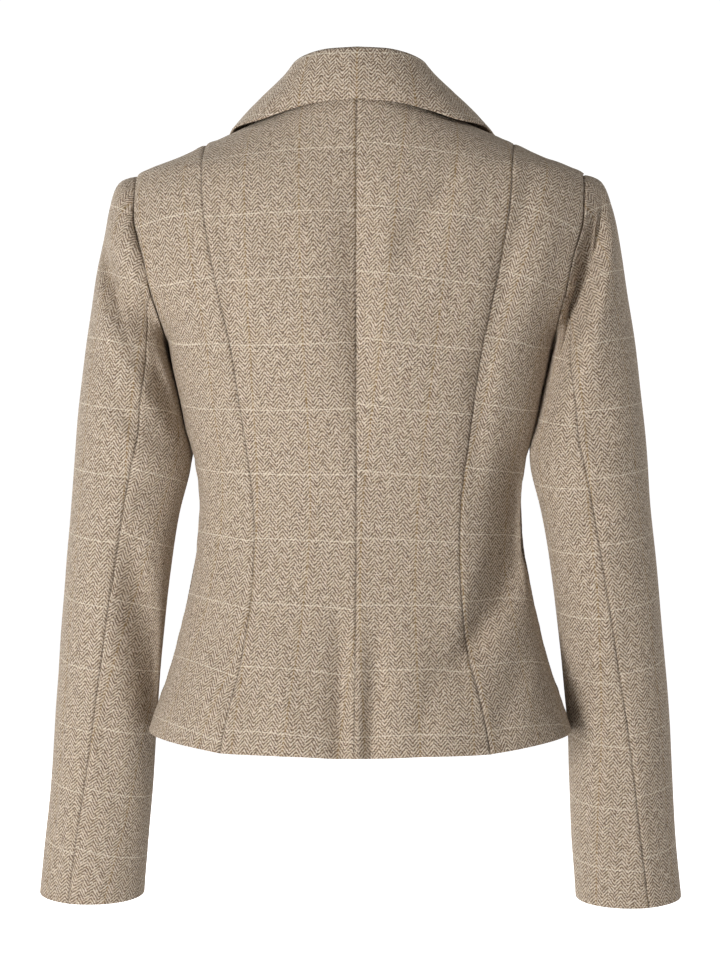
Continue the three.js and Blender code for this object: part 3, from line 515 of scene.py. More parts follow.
def neck_place(index):
    """The neck edge by number: 0 at the nape, 6 at the side of the neck, 11 at the gorge."""
    i = np.clip(index, 0, NECK_COLUMNS + ROLL_ROWS)
    behind = i <= NECK_COLUMNS
    bx, bz = neck_edge(np.minimum(i, NECK_COLUMNS))
    fx, fz = front_edge_line(np.maximum(i - NECK_COLUMNS, 0))
    stop = np.where(behind, AT_NECK_SIDE * i / NECK_COLUMNS,
                    mix(AT_NECK_SIDE, AT_GORGE, (i - NECK_COLUMNS) / ROLL_ROWS))
    return np.where(behind, bx, fx), np.where(behind, bz, fz), np.where(behind, 1, -1), stop


def neck_frame(index):
    def at(i):
        x, z, face, _ = neck_place(np.abs(i))
        p = body_point(x, z, face, -CLOTH / 2)
        return np.where((i < 0)[..., None], p * [-1, 1, 1], p)
    p = at(index)
    last = NECK_COLUMNS + ROLL_ROWS
    after = at(np.minimum(index + 0.5, last))
    normal = form_normal(p)
    inward = inward_way(at(index - 0.5), after, normal, p * [-1, -1, 0])
    return p, normal, inward


def roll_fold(p, normal, inward):
    return p + normal * (CLOTH / 2 + ROLL_UP) + inward * ROLL_OUT


gorge_fold = roll_fold(*(v[0] for v in neck_frame(np.array([float(NECK_COLUMNS + ROLL_ROWS)]))))
collar_rows = np.array([*COLLAR_SECTIONS,
                        (COLLAR_NOTCH[0], *gorge_fold, *COLLAR_NOTCH[4:])], float)
collar_ends = body_point(collar_rows[:, 4], collar_rows[:, 5], collar_rows[:, 6],
                         collar_rows[:, 7] + CLOTH / 2)


def collar_piece(rows, cols):
    index = np.abs(rows)
    p, _, inward = neck_frame(index)
    x, z, _, at = neck_place(index)
    of = [smooth_column(collar_rows[:, 0], collar_rows[:, k])(at) for k in range(1, 9)]
    fold = point_of(of[0], of[1], of[2])
    end = point_of(*(smooth_column(collar_rows[:, 0], collar_ends[:, k])(at) for k in range(3)))
    edge_x, edge_z, lift, drape = of[3], of[4], of[6], of[7]

    def middles(outer, out):
        for share in MIDDLE_SHARES:
            straight = mix(outer, end, share) + out * (COLLAR_BOW * (1 - drape))[:, None]
            lying = body_point(mix(x, edge_x, share), mix(z, edge_z, share), -1,
                               lift + ROLL_SPRING * (1 - share) + CLOTH / 2)
            weight = np.where(at < AT_NECK_SIDE, 0, drape)[:, None]
            yield mix(straight, lying, weight)

    grid = through_knots(section_knots(p, inward, fold, middles, end), cols)
    grid[..., 0] *= np.where(rows < 0, -1, 1)[:, None]
    return grid


def lapel_piece(sign, heights):
    edge_x = smooth_column(LAPEL_SECTIONS[:, 0], LAPEL_SECTIONS[:, 1])
    edge_z = smooth_column(LAPEL_SECTIONS[:, 0], LAPEL_SECTIONS[:, 2])

    def on_front(x, z, lift):
        return body_point(x, z, -1, front_lift(x, z, sign) + lift)

    def place(rows, cols):
        z = mix(heights[0], heights[1], rows)
        x = roll_x(z)
        p = on_front(x, z, -CLOTH / 2)
        normal = form_normal(p)
        above, below = z + LAPEL_STEP, z - LAPEL_STEP
        inward = inward_way(on_front(roll_x(above), above, 0), on_front(roll_x(below), below, 0),
                            normal, np.array([-1.0, 0, 0]))
        end = on_front(edge_x(z), edge_z(z), OVER_CHEST + CLOTH / 2)

        def middles(outer, out):
            for share in MIDDLE_SHARES:
                yield on_front(mix(x, edge_x(z), share), mix(z, edge_z(z), share),
                               OVER_CHEST + ROLL_SPRING * (1 - share) + CLOTH / 2)

        grid = through_knots(
            section_knots(p, inward, roll_fold(p, normal, inward), middles, end), cols)
        grid[..., 0] *= sign
        return grid
    return place


# Cloth walls

GRID_STEP = 3.0
NEAR_EDGE = np.array([0.08, 0.35, 0.8, 1.4, 2.2, 3.4])
# The ditch along a seam, the width of its painted shade, and the uneven puff of the cloth beside it
SEAM_DROP = 0.9
SEAM_WIDTH = 1.0
PAINTED_SHADE_WIDTH = 0.65
SEAM_PUFF = 0.45
PUFF_WAVE = 0.55
PUFF_AWAY = 4.5
PUFF_LONG = 17.0
RIPPLE = 0.35
RIPPLE_WIDTH = 14
RIPPLE_LONG = 31.0
# How round a free edge is, and how uneven the cloth lies
EDGE_ROUND = 0.96
UNEVEN = 0.55
UNEVEN_LONG = 70.0
UNEVEN_SEED = 40
LAID_OVER_SHARE = 0.6
# Where creases fade: by a firm border, and where the cloth turns away from their side
FIRM_WIDTH = 6.0
FACING_GAIN = 1.5
FACING_LEAST = 0.1
# Sewn borders reach over the solids' seam gap, so that no light comes through
SEAM_REACH = 0.2
BORDERS = {"top": (np.s_[0], np.s_[1]), "bottom": (np.s_[-1], np.s_[-2]),
           "first": (np.s_[:, 0], np.s_[:, 1]), "last": (np.s_[:, -1], np.s_[:, -2])}
# Measuring a piece and laying it flat
LENGTH_ROWS = 161
LENGTH_COLUMNS = 81
PATTERN_STEP = 8.0
FLATTEN_PASSES = 900
FLATTEN_PACE = 0.32
# Millimetres to one unit of the weave's map
WEAVE_UNIT = 100


def edge_lengths(place, numbers):
    """The row and column numbers of a piece, each with the mean length up to it."""
    first_row, last_row, first_column, last_column = numbers
    r = np.linspace(first_row, last_row, LENGTH_ROWS)
    c = np.linspace(first_column, last_column, LENGTH_COLUMNS)
    grid = place(r, c)
    along = np.linalg.norm(np.diff(grid, axis=0), axis=2).mean(1).cumsum()
    across = np.linalg.norm(np.diff(grid, axis=1), axis=2).mean(0).cumsum()
    return (r, np.r_[0, along]), (c, np.r_[0, across])


def fine_stops(numbers, lengths):
    """Where the mesh has its rows or columns: close together by the edges, even between."""
    total = lengths[-1]
    count = max(int((total - 2 * NEAR_EDGE[-1]) / GRID_STEP), 1) + 1
    middle = np.linspace(NEAR_EDGE[-1], total - NEAR_EDGE[-1], count + 1)[1:-1]
    wanted = np.r_[NEAR_EDGE, middle, total - NEAR_EDGE[::-1]]
    return np.interp(wanted, lengths, numbers)


def running(grid, axis):
    """The length along a grid's lines, from their start to each of its points."""
    steps = np.linalg.norm(np.diff(grid, axis=axis), axis=2)
    total = np.cumsum(steps, axis=axis)
    shape = [(0, 0), (0, 0)]
    shape[axis] = (1, 0)
    return np.pad(total, shape)


def flat_pattern(solid):
    """The piece laid flat: a grid of flat places whose distances are those of the solid grid."""
    across = running(solid, 1)
    along = running(solid, 0)
    middle = across.shape[1] // 2
    flat = np.stack([across - across[:, middle:middle + 1],
                     np.broadcast_to(-along.mean(1)[:, None], along.shape)], -1)
    every = slice(None)
    a, b = slice(None, -1), slice(1, None)
    pairs = [((every, a), (every, b)), ((a, every), (b, every)), ((a, a), (b, b)), ((a, b), (b, a))]
    lengths = [np.linalg.norm(solid[p] - solid[q], axis=-1) for p, q in pairs]
    for _ in range(FLATTEN_PASSES):
        move = np.zeros_like(flat)
        for (p, q), length in zip(pairs, lengths):
            way = flat[p] - flat[q]
            dist = np.maximum(np.linalg.norm(way, axis=-1), 1e-6)
            push = way * (0.5 * (1 - length / dist))[..., None]
            move[p] -= push
            move[q] += push
        flat = flat + FLATTEN_PACE * move
    return flat


def laid_to(flat, target, tilt):
    """Turns and moves a flat pattern so that it fits the target best, then tilts its grain."""
    f = flat - flat.mean((0, 1))
    t = target - target.mean((0, 1))
    angle = math.atan2((f[..., 0] * t[..., 1] - f[..., 1] * t[..., 0]).sum(), (f * t).sum())
    angle += math.radians(tilt)
    c, s = math.cos(angle), math.sin(angle)
    return f @ np.array([[c, s], [-s, c]]) + target.mean((0, 1))


def interpolated(values, numbers, wanted, axis):
    i = np.clip(np.searchsorted(numbers, wanted) - 1, 0, len(numbers) - 2)
    w = (wanted - numbers[i]) / (numbers[i + 1] - numbers[i])
    low, high = np.take(values, i, axis), np.take(values, i + 1, axis)
    w = w[:, None, None] if axis == 0 else w[None, :, None]
    return low + (high - low) * w


def waves(seed, count, length):
    """A smooth uneven line: a few waves whose lengths and starts differ."""
    rng = np.random.default_rng(seed)
    k = 2 * math.pi / (length * rng.uniform(0.6, 1.7, count))
    start = rng.uniform(0, 2 * math.pi, count)
    high = rng.uniform(0.5, 1.0, count)
    return lambda s: (np.sin(np.asarray(s)[..., None] * k + start) * high).sum(-1) / count


def unevenness(seed, length, count=9):
    """The same over a sheet: a few waves that run in different ways."""
    rng = np.random.default_rng(seed)
    way = rng.uniform(0, 2 * math.pi, count)
    k = 2 * math.pi / (length * rng.uniform(0.7, 1.8, count))
    start = rng.uniform(0, 2 * math.pi, count)
    kx, kz = k * np.cos(way), k * np.sin(way)
    return lambda x, z: np.sin(x[..., None] * kx + z[..., None] * kz + start).mean(-1)


def new_mesh(name, points, faces, uv):
    mesh = bpy.data.meshes.new(name)
    mesh.from_pydata((points * MM).tolist(), [], faces.tolist())
    mesh.polygons.foreach_set("use_smooth", np.ones(len(mesh.polygons), bool))
    layer = mesh.uv_layers.new(name="Weave")
    corners = np.empty(len(mesh.loops), np.int32)
    mesh.loops.foreach_get("vertex_index", corners)
    layer.data.foreach_set("uv", (uv[corners] / WEAVE_UNIT).astype(np.float32).ravel())
    mesh.update()
    obj = bpy.data.objects.new(name, mesh)
    bpy.context.scene.collection.objects.link(obj)
    return obj


def wall_faces(rows, columns):
    """The quads of a closed wall: its outer face, its inner face and the strips at its borders."""
    n = rows * columns
    at = np.arange(n).reshape(rows, columns)
    a, b, c, d = at[:-1, :-1], at[1:, :-1], at[1:, 1:], at[:-1, 1:]
    quads = [np.stack([a, b, c, d], -1).reshape(-1, 4),
             np.stack([a, d, c, b], -1).reshape(-1, 4) + n]
    for line, turned in ((at[:, 0], 0), (at[:, -1], 1), (at[0], 1), (at[-1], 0)):
        p, q = line[:-1], line[1:]
        strip = np.stack([p, p + n, q + n, q], -1)
        quads.append(strip[:, ::-1] if turned else strip)
    return np.concatenate(quads)


def faces_out(points, faces):
    a, b, c, d = (points[faces[:, k]] for k in range(4))
    volume = (np.cross(a, b) * c).sum() + (np.cross(a, c) * d).sum()
    return faces if volume > 0 else faces[:, ::-1]


def creased(points, normals, creases, side=1, face=1):
    """The rise of a set of creases where the surface looks towards their face."""
    x, z = points[..., 0] * side, points[..., 2]
    total = np.zeros(x.shape)
    for cx, cz, way, long, wide, rise in creases:
        c, s = math.cos(math.radians(way)), math.sin(math.radians(way))
        along = ((x - cx) * c + (z - cz) * s) / long
        across = (-(x - cx) * s + (z - cz) * c) / wide
        total += rise * np.exp(-across ** 2 - along ** 4)
    return face * total * soften(face * normals[..., 1] * FACING_GAIN + FACING_LEAST)


def cloth_piece(name, place, numbers, flip, edges, target, tilt=0.0, outward=0.0, detail=None,
                seed=0, offset=(0.0, 0.0), firm=()):
    """A closed wall of cloth over a surface. edges says what each border is: seam or free."""
    (rn, rl), (cn, cl) = edge_lengths(place, numbers)
    rows, cols = fine_stops(rn, rl), fine_stops(cn, cl)
    base = place(rows, cols)
    normal = flip * unit(np.cross(np.gradient(base, axis=0), np.gradient(base, axis=1)))
    meets = base.copy()
    for side, (border, beyond) in BORDERS.items():
        if edges[side] == "seam":
            meets[border] += SEAM_REACH * unit(base[border] - base[beyond])

    coarse_r = np.interp(np.linspace(0, rl[-1], int(rl[-1] / PATTERN_STEP) + 3), rl, rn)
    coarse_c = np.interp(np.linspace(0, cl[-1], int(cl[-1] / PATTERN_STEP) + 3), cl, cn)
    solid = place(coarse_r, coarse_c)
    flat = flat_pattern(solid)
    laid = laid_to(flat, target(solid), tilt)
    uv = interpolated(interpolated(laid, coarse_r, rows, 0), coarse_c, cols, 1)

    along, across = running(base, 0), running(base, 1)
    away = {"top": along, "bottom": along[-1:] - along, "first": across,
            "last": across[:, -1:] - across}
    beside = {"top": across, "bottom": across, "first": along, "last": along}
    drop = np.zeros(along.shape)
    rise = np.zeros(along.shape)
    seam_painted_shade = np.zeros(along.shape)
    extra = np.zeros(along.shape)
    folds = np.zeros(along.shape)
    for k, (side, kind) in enumerate(edges.items()):
        d = away[side]
        if kind == "seam":
            drop = np.maximum(drop, SEAM_DROP * np.exp(-(d / SEAM_WIDTH) ** 2))
            # Painted shade along a seam, darkest in its ditch, kept as a mask for the shader
            seam_painted_shade = np.maximum(seam_painted_shade, np.exp(-(d / PAINTED_SHADE_WIDTH) ** 2))
            puff = waves(seed * 7 + k, 6, PUFF_LONG)(beside[side])
            ripple = waves(seed * 7 + k + 3, 5, RIPPLE_LONG)(beside[side])
            extra += (SEAM_PUFF + PUFF_WAVE * puff) * np.exp(-((d - PUFF_AWAY) / PUFF_AWAY) ** 2)
            extra += RIPPLE * ripple * np.exp(-(d / RIPPLE_WIDTH) ** 2)
        elif kind == "free":
            r = CLOTH / 2
            bend = r - np.sqrt(np.maximum(r * r - np.maximum(r - d, 0) ** 2, 0))
            drop = np.maximum(drop, bend * EDGE_ROUND)
            rise = np.maximum(rise, bend * EDGE_ROUND)
    extra += UNEVEN * unevenness(seed + UNEVEN_SEED, UNEVEN_LONG)(uv[..., 0], uv[..., 1])
    if detail is not None:
        folds = detail(base, normal)
        for side in firm:
            folds = folds * (1 - np.exp(-(away[side] / FIRM_WIDTH) ** 2))
    extra *= 1 if outward == 0 else LAID_OVER_SHARE
    sunk = meets + np.array([0, 1, 0]) * folds[..., None]
    outer = sunk + normal * (outward + extra - drop)[..., None]
    inner = sunk + normal * (outward + extra - CLOTH + rise)[..., None]
    points = np.concatenate([outer.reshape(-1, 3), inner.reshape(-1, 3)])
    faces = faces_out(points, wall_faces(*base.shape[:2]))
    shift = uv.reshape(-1, 2) + np.array(offset)
    obj = new_mesh(name, points, faces, np.concatenate([shift, shift]))
    # The painted seam shade goes to the mesh as a point attribute that darkens the tweed's colour
    depth = obj.data.attributes.new("seam_painted_shade", "FLOAT", "POINT")
    depth.data.foreach_set("value", np.tile(seam_painted_shade.ravel(), 2).astype(np.float32))
    obj.data.materials.append(tweed)
    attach(obj, "root")
    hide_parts(name)


# Materials

class Nodes:
    """A short way to write a node tree."""

    def __init__(self, name):
        self.material = bpy.data.materials.new(name)
        self.material.use_nodes = True
        self.tree = self.material.node_tree
        self.shader = self.tree.nodes["Principled BSDF"]

    def feed(self, socket, value):
        if isinstance(value, bpy.types.NodeSocket):
            self.tree.links.new(value, socket)
        else:
            socket.default_value = value

    def math(self, operation, *values):
        node = self.tree.nodes.new("ShaderNodeMath")
        node.operation = operation
        for socket, value in zip(node.inputs, values):
            self.feed(socket, value)
        return node.outputs[0]

    def blend(self, factor, a, b):
        node = self.tree.nodes.new("ShaderNodeMix")
        node.data_type = "RGBA"
        self.feed(node.inputs["Factor"], factor)
        self.feed(node.inputs[6], a)
        self.feed(node.inputs[7], b)
        return node.outputs[2]

    def noise(self, vector, scale, detail=2.0, rough=0.5):
        node = self.tree.nodes.new("ShaderNodeTexNoise")
        self.feed(node.inputs["Vector"], vector)
        node.inputs["Scale"].default_value = scale
        node.inputs["Detail"].default_value = detail
        node.inputs["Roughness"].default_value = rough
        return node.outputs["Fac"]

    def vector(self, x, y):
        node = self.tree.nodes.new("ShaderNodeCombineXYZ")
        for socket, value in zip(node.inputs, (x, y)):
            self.feed(socket, value)
        return node.outputs[0]

    def step(self, value, low, high):
        node = self.tree.nodes.new("ShaderNodeMapRange")
        node.interpolation_type = "SMOOTHSTEP"
        self.feed(node.inputs["Value"], value)
        node.inputs["From Min"].default_value = low
        node.inputs["From Max"].default_value = high
        return node.outputs[0]

    def bump(self, height, strength, distance):
        node = self.tree.nodes.new("ShaderNodeBump")
        node.inputs["Strength"].default_value = strength
        node.inputs["Distance"].default_value = distance
        self.feed(node.inputs["Height"], height)
        self.feed(self.shader.inputs["Normal"], node.outputs[0])


def linear(r, g, b):
    """A colour as a shader takes it, from its usual 0 to 255 values."""
    def one(v):
        v /= 255
        return v / 12.92 if v <= 0.04045 else ((v + 0.055) / 1.055) ** 2.4
    return (one(r), one(g), one(b), 1.0)


# The weave in millimetres: the herringbone's ribs, its twill and the lines of the check
RIB = 5.7
TWILL_UP = 3.4
TWILL_ACROSS = 2.8
CHECK_UP = 54.5
CHECK_ACROSS = 45.7
# Half width and soft edge of the check's lines
OCHRE_WIDTH = (0.35, 0.9)
CREAM_WIDTH = (0.22, 0.5)
# How far the threads wander, and how the flecks of the yarns vary along and across them
WANDER = 1.6
LEVEL_WANDER = 0.8
YARN_ACROSS = 1.1
YARN_ALONG = 0.16
YARN_FLECK = 6.0
STRAND_FLECK = 3.2
CONTRAST = 1.15
# Noises as scale, detail and roughness
WANDER_NOISE = (0.09, 3.0)
YARN_NOISE = (0.6, 3.0, 0.75)
MOTTLE_NOISE = (0.05, 4.0, 0.6)
DARK_NOISE = (0.5, 1.0)
LIGHT_NOISE = (0.42, 1.0)
YARN_MIX = (0.35, 0.65)
# How strongly each layer of colour covers the one below
CAST_COVER = 0.10
OCHRE_COVER = 0.62
CREAM_COVER = 0.88
# Painted shade over the seams' ditches
PAINTED_SHADE_COVER = 0.42
WEAVE_RELIEF = 0.0004

DARK_YARN = (98, 80, 68)
BROWN_YARN = (118, 96, 76)
LIGHT_YARN = (218, 204, 187)
OATMEAL_YARN = (202, 185, 163)
WARM_CAST = (176, 152, 120)
OCHRE_LINE = (134, 106, 62)
CREAM_LINE = (226, 214, 194)
# The colour of the painted shade in the seams' ditches
DITCH_SHADE = (52, 40, 31)
NAP = (225, 212, 195)


def make_tweed():
    """Herringbone tweed with an ochre and cream check, in millimetres of each piece's own cut."""
    n = Nodes("herringbone_tweed")
    uv = n.tree.nodes.new("ShaderNodeUVMap")
    uv.uv_map = "Weave"
    split = n.tree.nodes.new("ShaderNodeSeparateXYZ")
    n.feed(split.inputs[0], uv.outputs[0])
    u = n.math("MULTIPLY", split.outputs[0], WEAVE_UNIT)
    v = n.math("MULTIPLY", split.outputs[1], WEAVE_UNIT)
    place = n.vector(u, v)
    drift = n.math("MULTIPLY", n.math("SUBTRACT", n.noise(place, *WANDER_NOISE), 0.5), WANDER)
    u_soft = n.math("ADD", u, drift)
    v_soft = n.math("ADD", v, n.math("MULTIPLY", drift, LEVEL_WANDER))

    zigzag = n.math("PINGPONG", u_soft, RIB)
    phase = n.math("ADD", n.math("DIVIDE", v_soft, TWILL_UP), n.math("DIVIDE", zigzag, TWILL_ACROSS))
    wave = n.math("SINE", n.math("MULTIPLY", phase, 2 * math.pi))
    yarn = n.noise(place, *YARN_NOISE)

    def strands(across, up):
        stretched = n.vector(n.math("MULTIPLY", u, across), n.math("MULTIPLY", v, up))
        return n.noise(stretched, 1.0, 1.0)

    yarns = n.math("ADD", strands(YARN_ACROSS, YARN_ALONG), strands(YARN_ALONG, YARN_ACROSS))
    fleck = n.math("ADD", n.math("MULTIPLY_ADD", yarn, YARN_FLECK, -YARN_FLECK / 2),
                   n.math("MULTIPLY_ADD", yarns, STRAND_FLECK, -STRAND_FLECK))
    light = n.step(n.math("ADD", wave, fleck), -CONTRAST, CONTRAST)

    mottle = n.noise(place, *MOTTLE_NOISE)
    dark_yarn = n.blend(n.step(n.noise(place, *DARK_NOISE), *YARN_MIX),
                        linear(*DARK_YARN), linear(*BROWN_YARN))
    light_yarn = n.blend(n.step(n.noise(place, *LIGHT_NOISE), *YARN_MIX),
                         linear(*LIGHT_YARN), linear(*OATMEAL_YARN))
    cloth = n.blend(light, dark_yarn, light_yarn)
    cast = n.math("MULTIPLY", n.step(mottle, 0.3, 0.7), CAST_COVER)
    cloth = n.blend(cast, cloth, linear(*WARM_CAST))

    def line(position, spacing, width):
        half, soft = width
        near = n.math("PINGPONG", position, spacing / 2)
        return n.math("SUBTRACT", 1.0, n.step(near, half, half + soft))

    over = n.math("MULTIPLY_ADD", light, 0.6, 0.4)
    upright = n.math("MULTIPLY", line(u_soft, CHECK_ACROSS, OCHRE_WIDTH),
                     n.math("MULTIPLY", n.math("SUBTRACT", CONTRAST, light), OCHRE_COVER))
    cloth = n.blend(upright, cloth, linear(*OCHRE_LINE))
    level = n.math("MULTIPLY", line(v_soft, CHECK_UP, CREAM_WIDTH),
                   n.math("MULTIPLY", over, CREAM_COVER))
    cloth = n.blend(level, cloth, linear(*CREAM_LINE))

    # Painted shade: the cloth's colour darkens towards DITCH_SHADE in the seams' ditches
    seam_painted_shade = n.tree.nodes.new("ShaderNodeAttribute")
    seam_painted_shade.attribute_name = "seam_painted_shade"
    shaded = n.math("MULTIPLY", seam_painted_shade.outputs["Fac"], PAINTED_SHADE_COVER)
    cloth = n.blend(shaded, cloth, linear(*DITCH_SHADE))

    n.feed(n.shader.inputs["Base Color"], cloth)
    n.shader.inputs["Roughness"].default_value = 0.92
    n.shader.inputs["Sheen Weight"].default_value = 0.22
    n.shader.inputs["Sheen Roughness"].default_value = 0.55
    n.shader.inputs["Sheen Tint"].default_value = linear(*NAP)
    n.shader.inputs["Specular IOR Level"].default_value = 0.25
    height = n.math("ADD", n.math("MULTIPLY", wave, 0.5), n.math("MULTIPLY", fleck, 0.6))
    n.bump(height, 0.55, WEAVE_RELIEF)
    return n.material


tweed = make_tweed()

HORN_BROWN = (58, 40, 28)
HORN_LIGHT = (112, 82, 56)
HORN_DARK = (36, 24, 18)
HORN_GRAIN = (240.0, 5.0, 0.65)
HORN_CLOUD = (90.0, 2.0)
HORN_RELIEF = 0.0002


def make_horn():
    n = Nodes("horn_button")
    coordinate = n.tree.nodes.new("ShaderNodeTexCoord").outputs["Object"]
    grain = n.noise(coordinate, *HORN_GRAIN)
    cloud = n.noise(coordinate, *HORN_CLOUD)
    colour = n.blend(n.step(cloud, *YARN_MIX), linear(*HORN_BROWN), linear(*HORN_LIGHT))
    streak = n.math("MULTIPLY", n.step(grain, 0.4, 0.7), 0.5)
    colour = n.blend(streak, colour, linear(*HORN_DARK))
    n.feed(n.shader.inputs["Base Color"], colour)
    n.shader.inputs["Roughness"].default_value = 0.32
    n.bump(grain, 0.15, HORN_RELIEF)
    return n.material


# The jacket's pieces

PROFILE_SAMPLES = 600


def profile_length(face):
    """The length down the centre back or the centre front, measured from the nape's height."""
    z = np.linspace(BODY_SECTIONS[-1, 0], BODY_SECTIONS[0, 0], PROFILE_SAMPLES)[::-1]
    y = back_y(z) if face > 0 else front_y(z)
    length = np.r_[0, np.cumsum(np.hypot(np.diff(z), np.diff(y)))]
    nape = np.interp(-NAPE_Z, -z, length)
    return lambda at: np.interp(-at, -z, -(length - nape))


back_profile = profile_length(1)
front_profile = profile_length(-1)


# Targets say roughly where a piece's flat pattern lies: its grain follows the body's middle
# lines, a sleeve's length or a collar's rows

def body_target(face):
    profile = back_profile if face > 0 else front_profile

    def target(solid):
        across = running(solid, 1)
        side = np.sign(solid[..., 0].sum())
        u = solid[:, :1, 0] + side * across
        return np.stack([u, profile(solid[..., 2])], -1)
    return target


def sleeve_target(sign):
    def target(solid):
        across = running(solid, 1)
        middle = across.shape[1] // 2
        along = running(solid, 0)[:, middle]
        u = sign * (across - across[:, middle:middle + 1])
        return np.stack([u, np.broadcast_to(-along[:, None], across.shape)], -1)
    return target


def row_target(solid):
    along = running(solid, 0)
    middle = along.shape[0] // 2
    across = running(solid, 1)
    return np.stack([along - along[middle:middle + 1], -across], -1)


BODY_MATCH = (0, 11)
UPPER_MATCH = (0, -18)
UNDER_MATCH = (0, 20)
SIDE_TILT = -1.5
UNDER_TILT = 8
# How much of a sleeve's creases shows on its front
BEFORE_SHARE = 0.6
BODY_COLUMNS = 9
SIDE_BACK_COLUMNS = 6


def back_detail(points, normals):
    return creased(points, normals, BACK_CREASES)


def front_detail(points, normals):
    return creased(points, normals, FRONT_CREASES, face=-1)


def sleeve_details(side, sign):
    def detail(points, normals):
        behind = creased(points, normals, SLEEVE_CREASES[side], side=sign)
        before = creased(points, normals, SLEEVE_CREASES[side], side=sign, face=-1)
        return behind + BEFORE_SHARE * before
    return detail


for k, (side, sign) in enumerate(SIDES.items()):
    sleeve_detail = sleeve_details(side, sign)
    seams = {"top": "seam", "bottom": "free", "first": "seam", "last": "seam"}
    back = filled_piece(centre_back_line, princess_line, back_top, BODY_COLUMNS, False, sign, 1)
    cloth_piece(f"back_{side}", back, (0, ROWS, 0, BODY_COLUMNS), -sign, seams, body_target(1),
                seed=1 + k, detail=back_detail, firm=("top",), offset=BODY_MATCH)
    side_back = filled_piece(princess_line, side_line(1), side_back_top, SIDE_BACK_COLUMNS, True,
                             sign, 1)
    cloth_piece(f"side_back_{side}", side_back, (0, ROWS, 0, SIDE_BACK_COLUMNS), -sign, seams,
                body_target(1), tilt=sign * SIDE_TILT, seed=3 + k, detail=back_detail,
                offset=BODY_MATCH, firm=("top", "last"))
    front = filled_piece(front_edge_line, side_line(-1), shoulder_edge, BODY_COLUMNS, True, sign,
                         -1, lambda x, z, s=sign: front_lift(x, z, s))
    cloth_piece(f"front_{side}", front, (0, ROWS, 0, BODY_COLUMNS), sign,
                {**seams, "first": "free"}, body_target(-1), seed=5 + k, detail=front_detail,
                offset=BODY_MATCH, firm=("top", "last"))

    hang = (sign, SLEEVE_FOLDS[side], CUFF_SWING[side])
    cloth_piece(f"sleeve_upper_{side}", sleeve_piece(*hang), (0, RINGS, 0, UPPER_COLUMNS),
                sign, seams, sleeve_target(sign), seed=7 + k, detail=sleeve_detail,
                offset=UPPER_MATCH, firm=("top",))
    cloth_piece(f"sleeve_under_{side}", sleeve_piece(*hang),
                (0, RINGS, UPPER_COLUMNS, UPPER_COLUMNS + UNDER_COLUMNS),
                sign, seams, sleeve_target(sign), tilt=sign * UNDER_TILT, seed=9 + k,
                detail=sleeve_detail, offset=UNDER_MATCH, firm=("top",))

    lapel_edges = {"top": "free", "bottom": "free", "first": "seam", "last": "free"}
    cloth_piece(f"lapel_{side}", lapel_piece(sign, (GORGE_Z - GORGE_GAP, LAPEL_ENDS[side])),
                (0, 1, 0, SECTION_LAST), sign, lapel_edges, sleeve_target(sign), outward=CLOTH / 2,
                seed=11 + k)

last_neck = NECK_COLUMNS + ROLL_ROWS
cloth_piece("collar", collar_piece, (-last_neck, last_neck, 0, SECTION_LAST), 1,
            {"top": "free", "bottom": "free", "first": "seam", "last": "free"}, row_target,
            outward=CLOTH / 2, seed=15)

for number in (1, 2):
    button_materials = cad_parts[f"button_{number}"].data.materials
    button_materials.clear()
    button_materials.append(make_horn())


# Studio

FLOOR_Z = -0.95
FLOOR_HALF = 80
PALE = (0.93, 0.93, 0.93, 1)
WHITE = (1, 1, 1, 1)
FLOOR_GLOW = 0.9
FILL_STRENGTH = 0.15
BACKDROP_STRENGTH = 1.05
AIM = Vector((0, 0, -0.31))

floor_mesh = bpy.data.meshes.new("floor")
floor_mesh.from_pydata([(x * FLOOR_HALF, y * FLOOR_HALF, FLOOR_Z)
                        for x, y in ((-1, -1), (1, -1), (1, 1), (-1, 1))], [], [(0, 1, 2, 3)])
floor = bpy.data.objects.new("floor", floor_mesh)
bpy.context.scene.collection.objects.link(floor)
pale = Nodes("pale_floor")
pale.shader.inputs["Base Color"].default_value = PALE
pale.shader.inputs["Roughness"].default_value = 0.9
pale.shader.inputs["Emission Color"].default_value = WHITE
seen_by = pale.tree.nodes.new("ShaderNodeLightPath")
glow = pale.math("MULTIPLY", seen_by.outputs["Is Camera Ray"], FLOOR_GLOW)
pale.feed(pale.shader.inputs["Emission Strength"], glow)
floor_mesh.materials.append(pale.material)

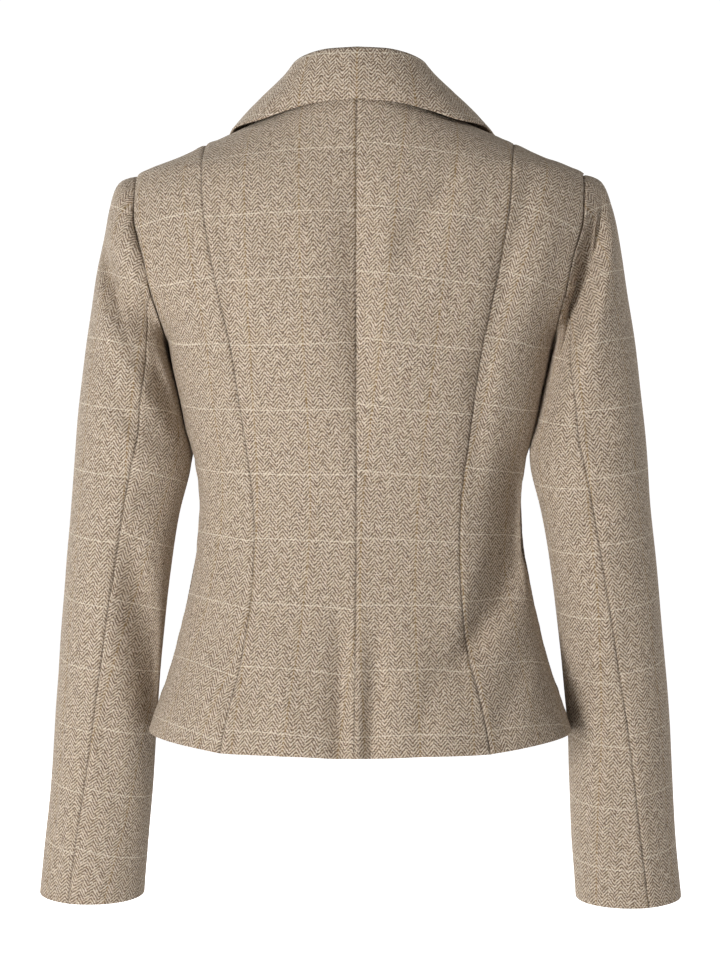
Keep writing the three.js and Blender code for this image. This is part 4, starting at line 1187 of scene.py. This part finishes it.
world = bpy.data.worlds.new("studio")
bpy.context.scene.world = world
world.use_nodes = True
tree = world.node_tree
tree.nodes.clear()
out = tree.nodes.new("ShaderNodeOutputWorld")
seen = tree.nodes.new("ShaderNodeBackground")
seen.inputs["Strength"].default_value = BACKDROP_STRENGTH
fills = tree.nodes.new("ShaderNodeBackground")
fills.inputs["Strength"].default_value = FILL_STRENGTH
path = tree.nodes.new("ShaderNodeLightPath")
choose = tree.nodes.new("ShaderNodeMixShader")
for background in (seen, fills):
    background.inputs["Color"].default_value = WHITE
tree.links.new(path.outputs["Is Camera Ray"], choose.inputs[0])
tree.links.new(fills.outputs[0], choose.inputs[1])
tree.links.new(seen.outputs[0], choose.inputs[2])
tree.links.new(choose.outputs[0], out.inputs[0])


def area_light(name, at, size, power):
    data = bpy.data.lights.new(name, "AREA")
    data.shape = "RECTANGLE"
    data.size, data.size_y = size
    data.energy = power
    lamp = bpy.data.objects.new(name, data)
    lamp.location = at
    lamp.rotation_euler = (AIM - Vector(at)).to_track_quat("-Z", "Y").to_euler()
    bpy.context.scene.collection.objects.link(lamp)


# Name, place, size and watts
area_light("key", (1.35, 2.50, -0.38), (0.7, 1.0), 66)
area_light("top", (-0.9, 0.8, 2.0), (1.2, 1.2), 9)
area_light("rim_left", (2.3, -1.4, -0.2), (1.2, 2.2), 14)
area_light("rim_right", (-2.3, -1.4, -0.2), (1.2, 2.2), 30)
area_light("front_key", (1.5, -2.6, 0.5), (1.6, 1.8), 50)

CAMERA_LENS = 110.3
CAMERA_SENSOR = 36
CAMERA_REACH = 50
CAMERA_AT = (-0.109, 2.498, -0.250)
CAMERA_AIM = Vector((0, 0, -0.3095))

camera_data = bpy.data.cameras.new("camera")
camera_data.lens = CAMERA_LENS
camera_data.sensor_width = CAMERA_SENSOR
camera_data.clip_end = CAMERA_REACH
camera = bpy.data.objects.new("camera", camera_data)
bpy.context.scene.collection.objects.link(camera)
camera.location = CAMERA_AT
look = CAMERA_AIM - camera.location
camera.rotation_euler = look.to_track_quat("-Z", "Y").to_euler()
bpy.context.scene.camera = camera
bpy.context.scene.view_settings.view_transform = "Standard"
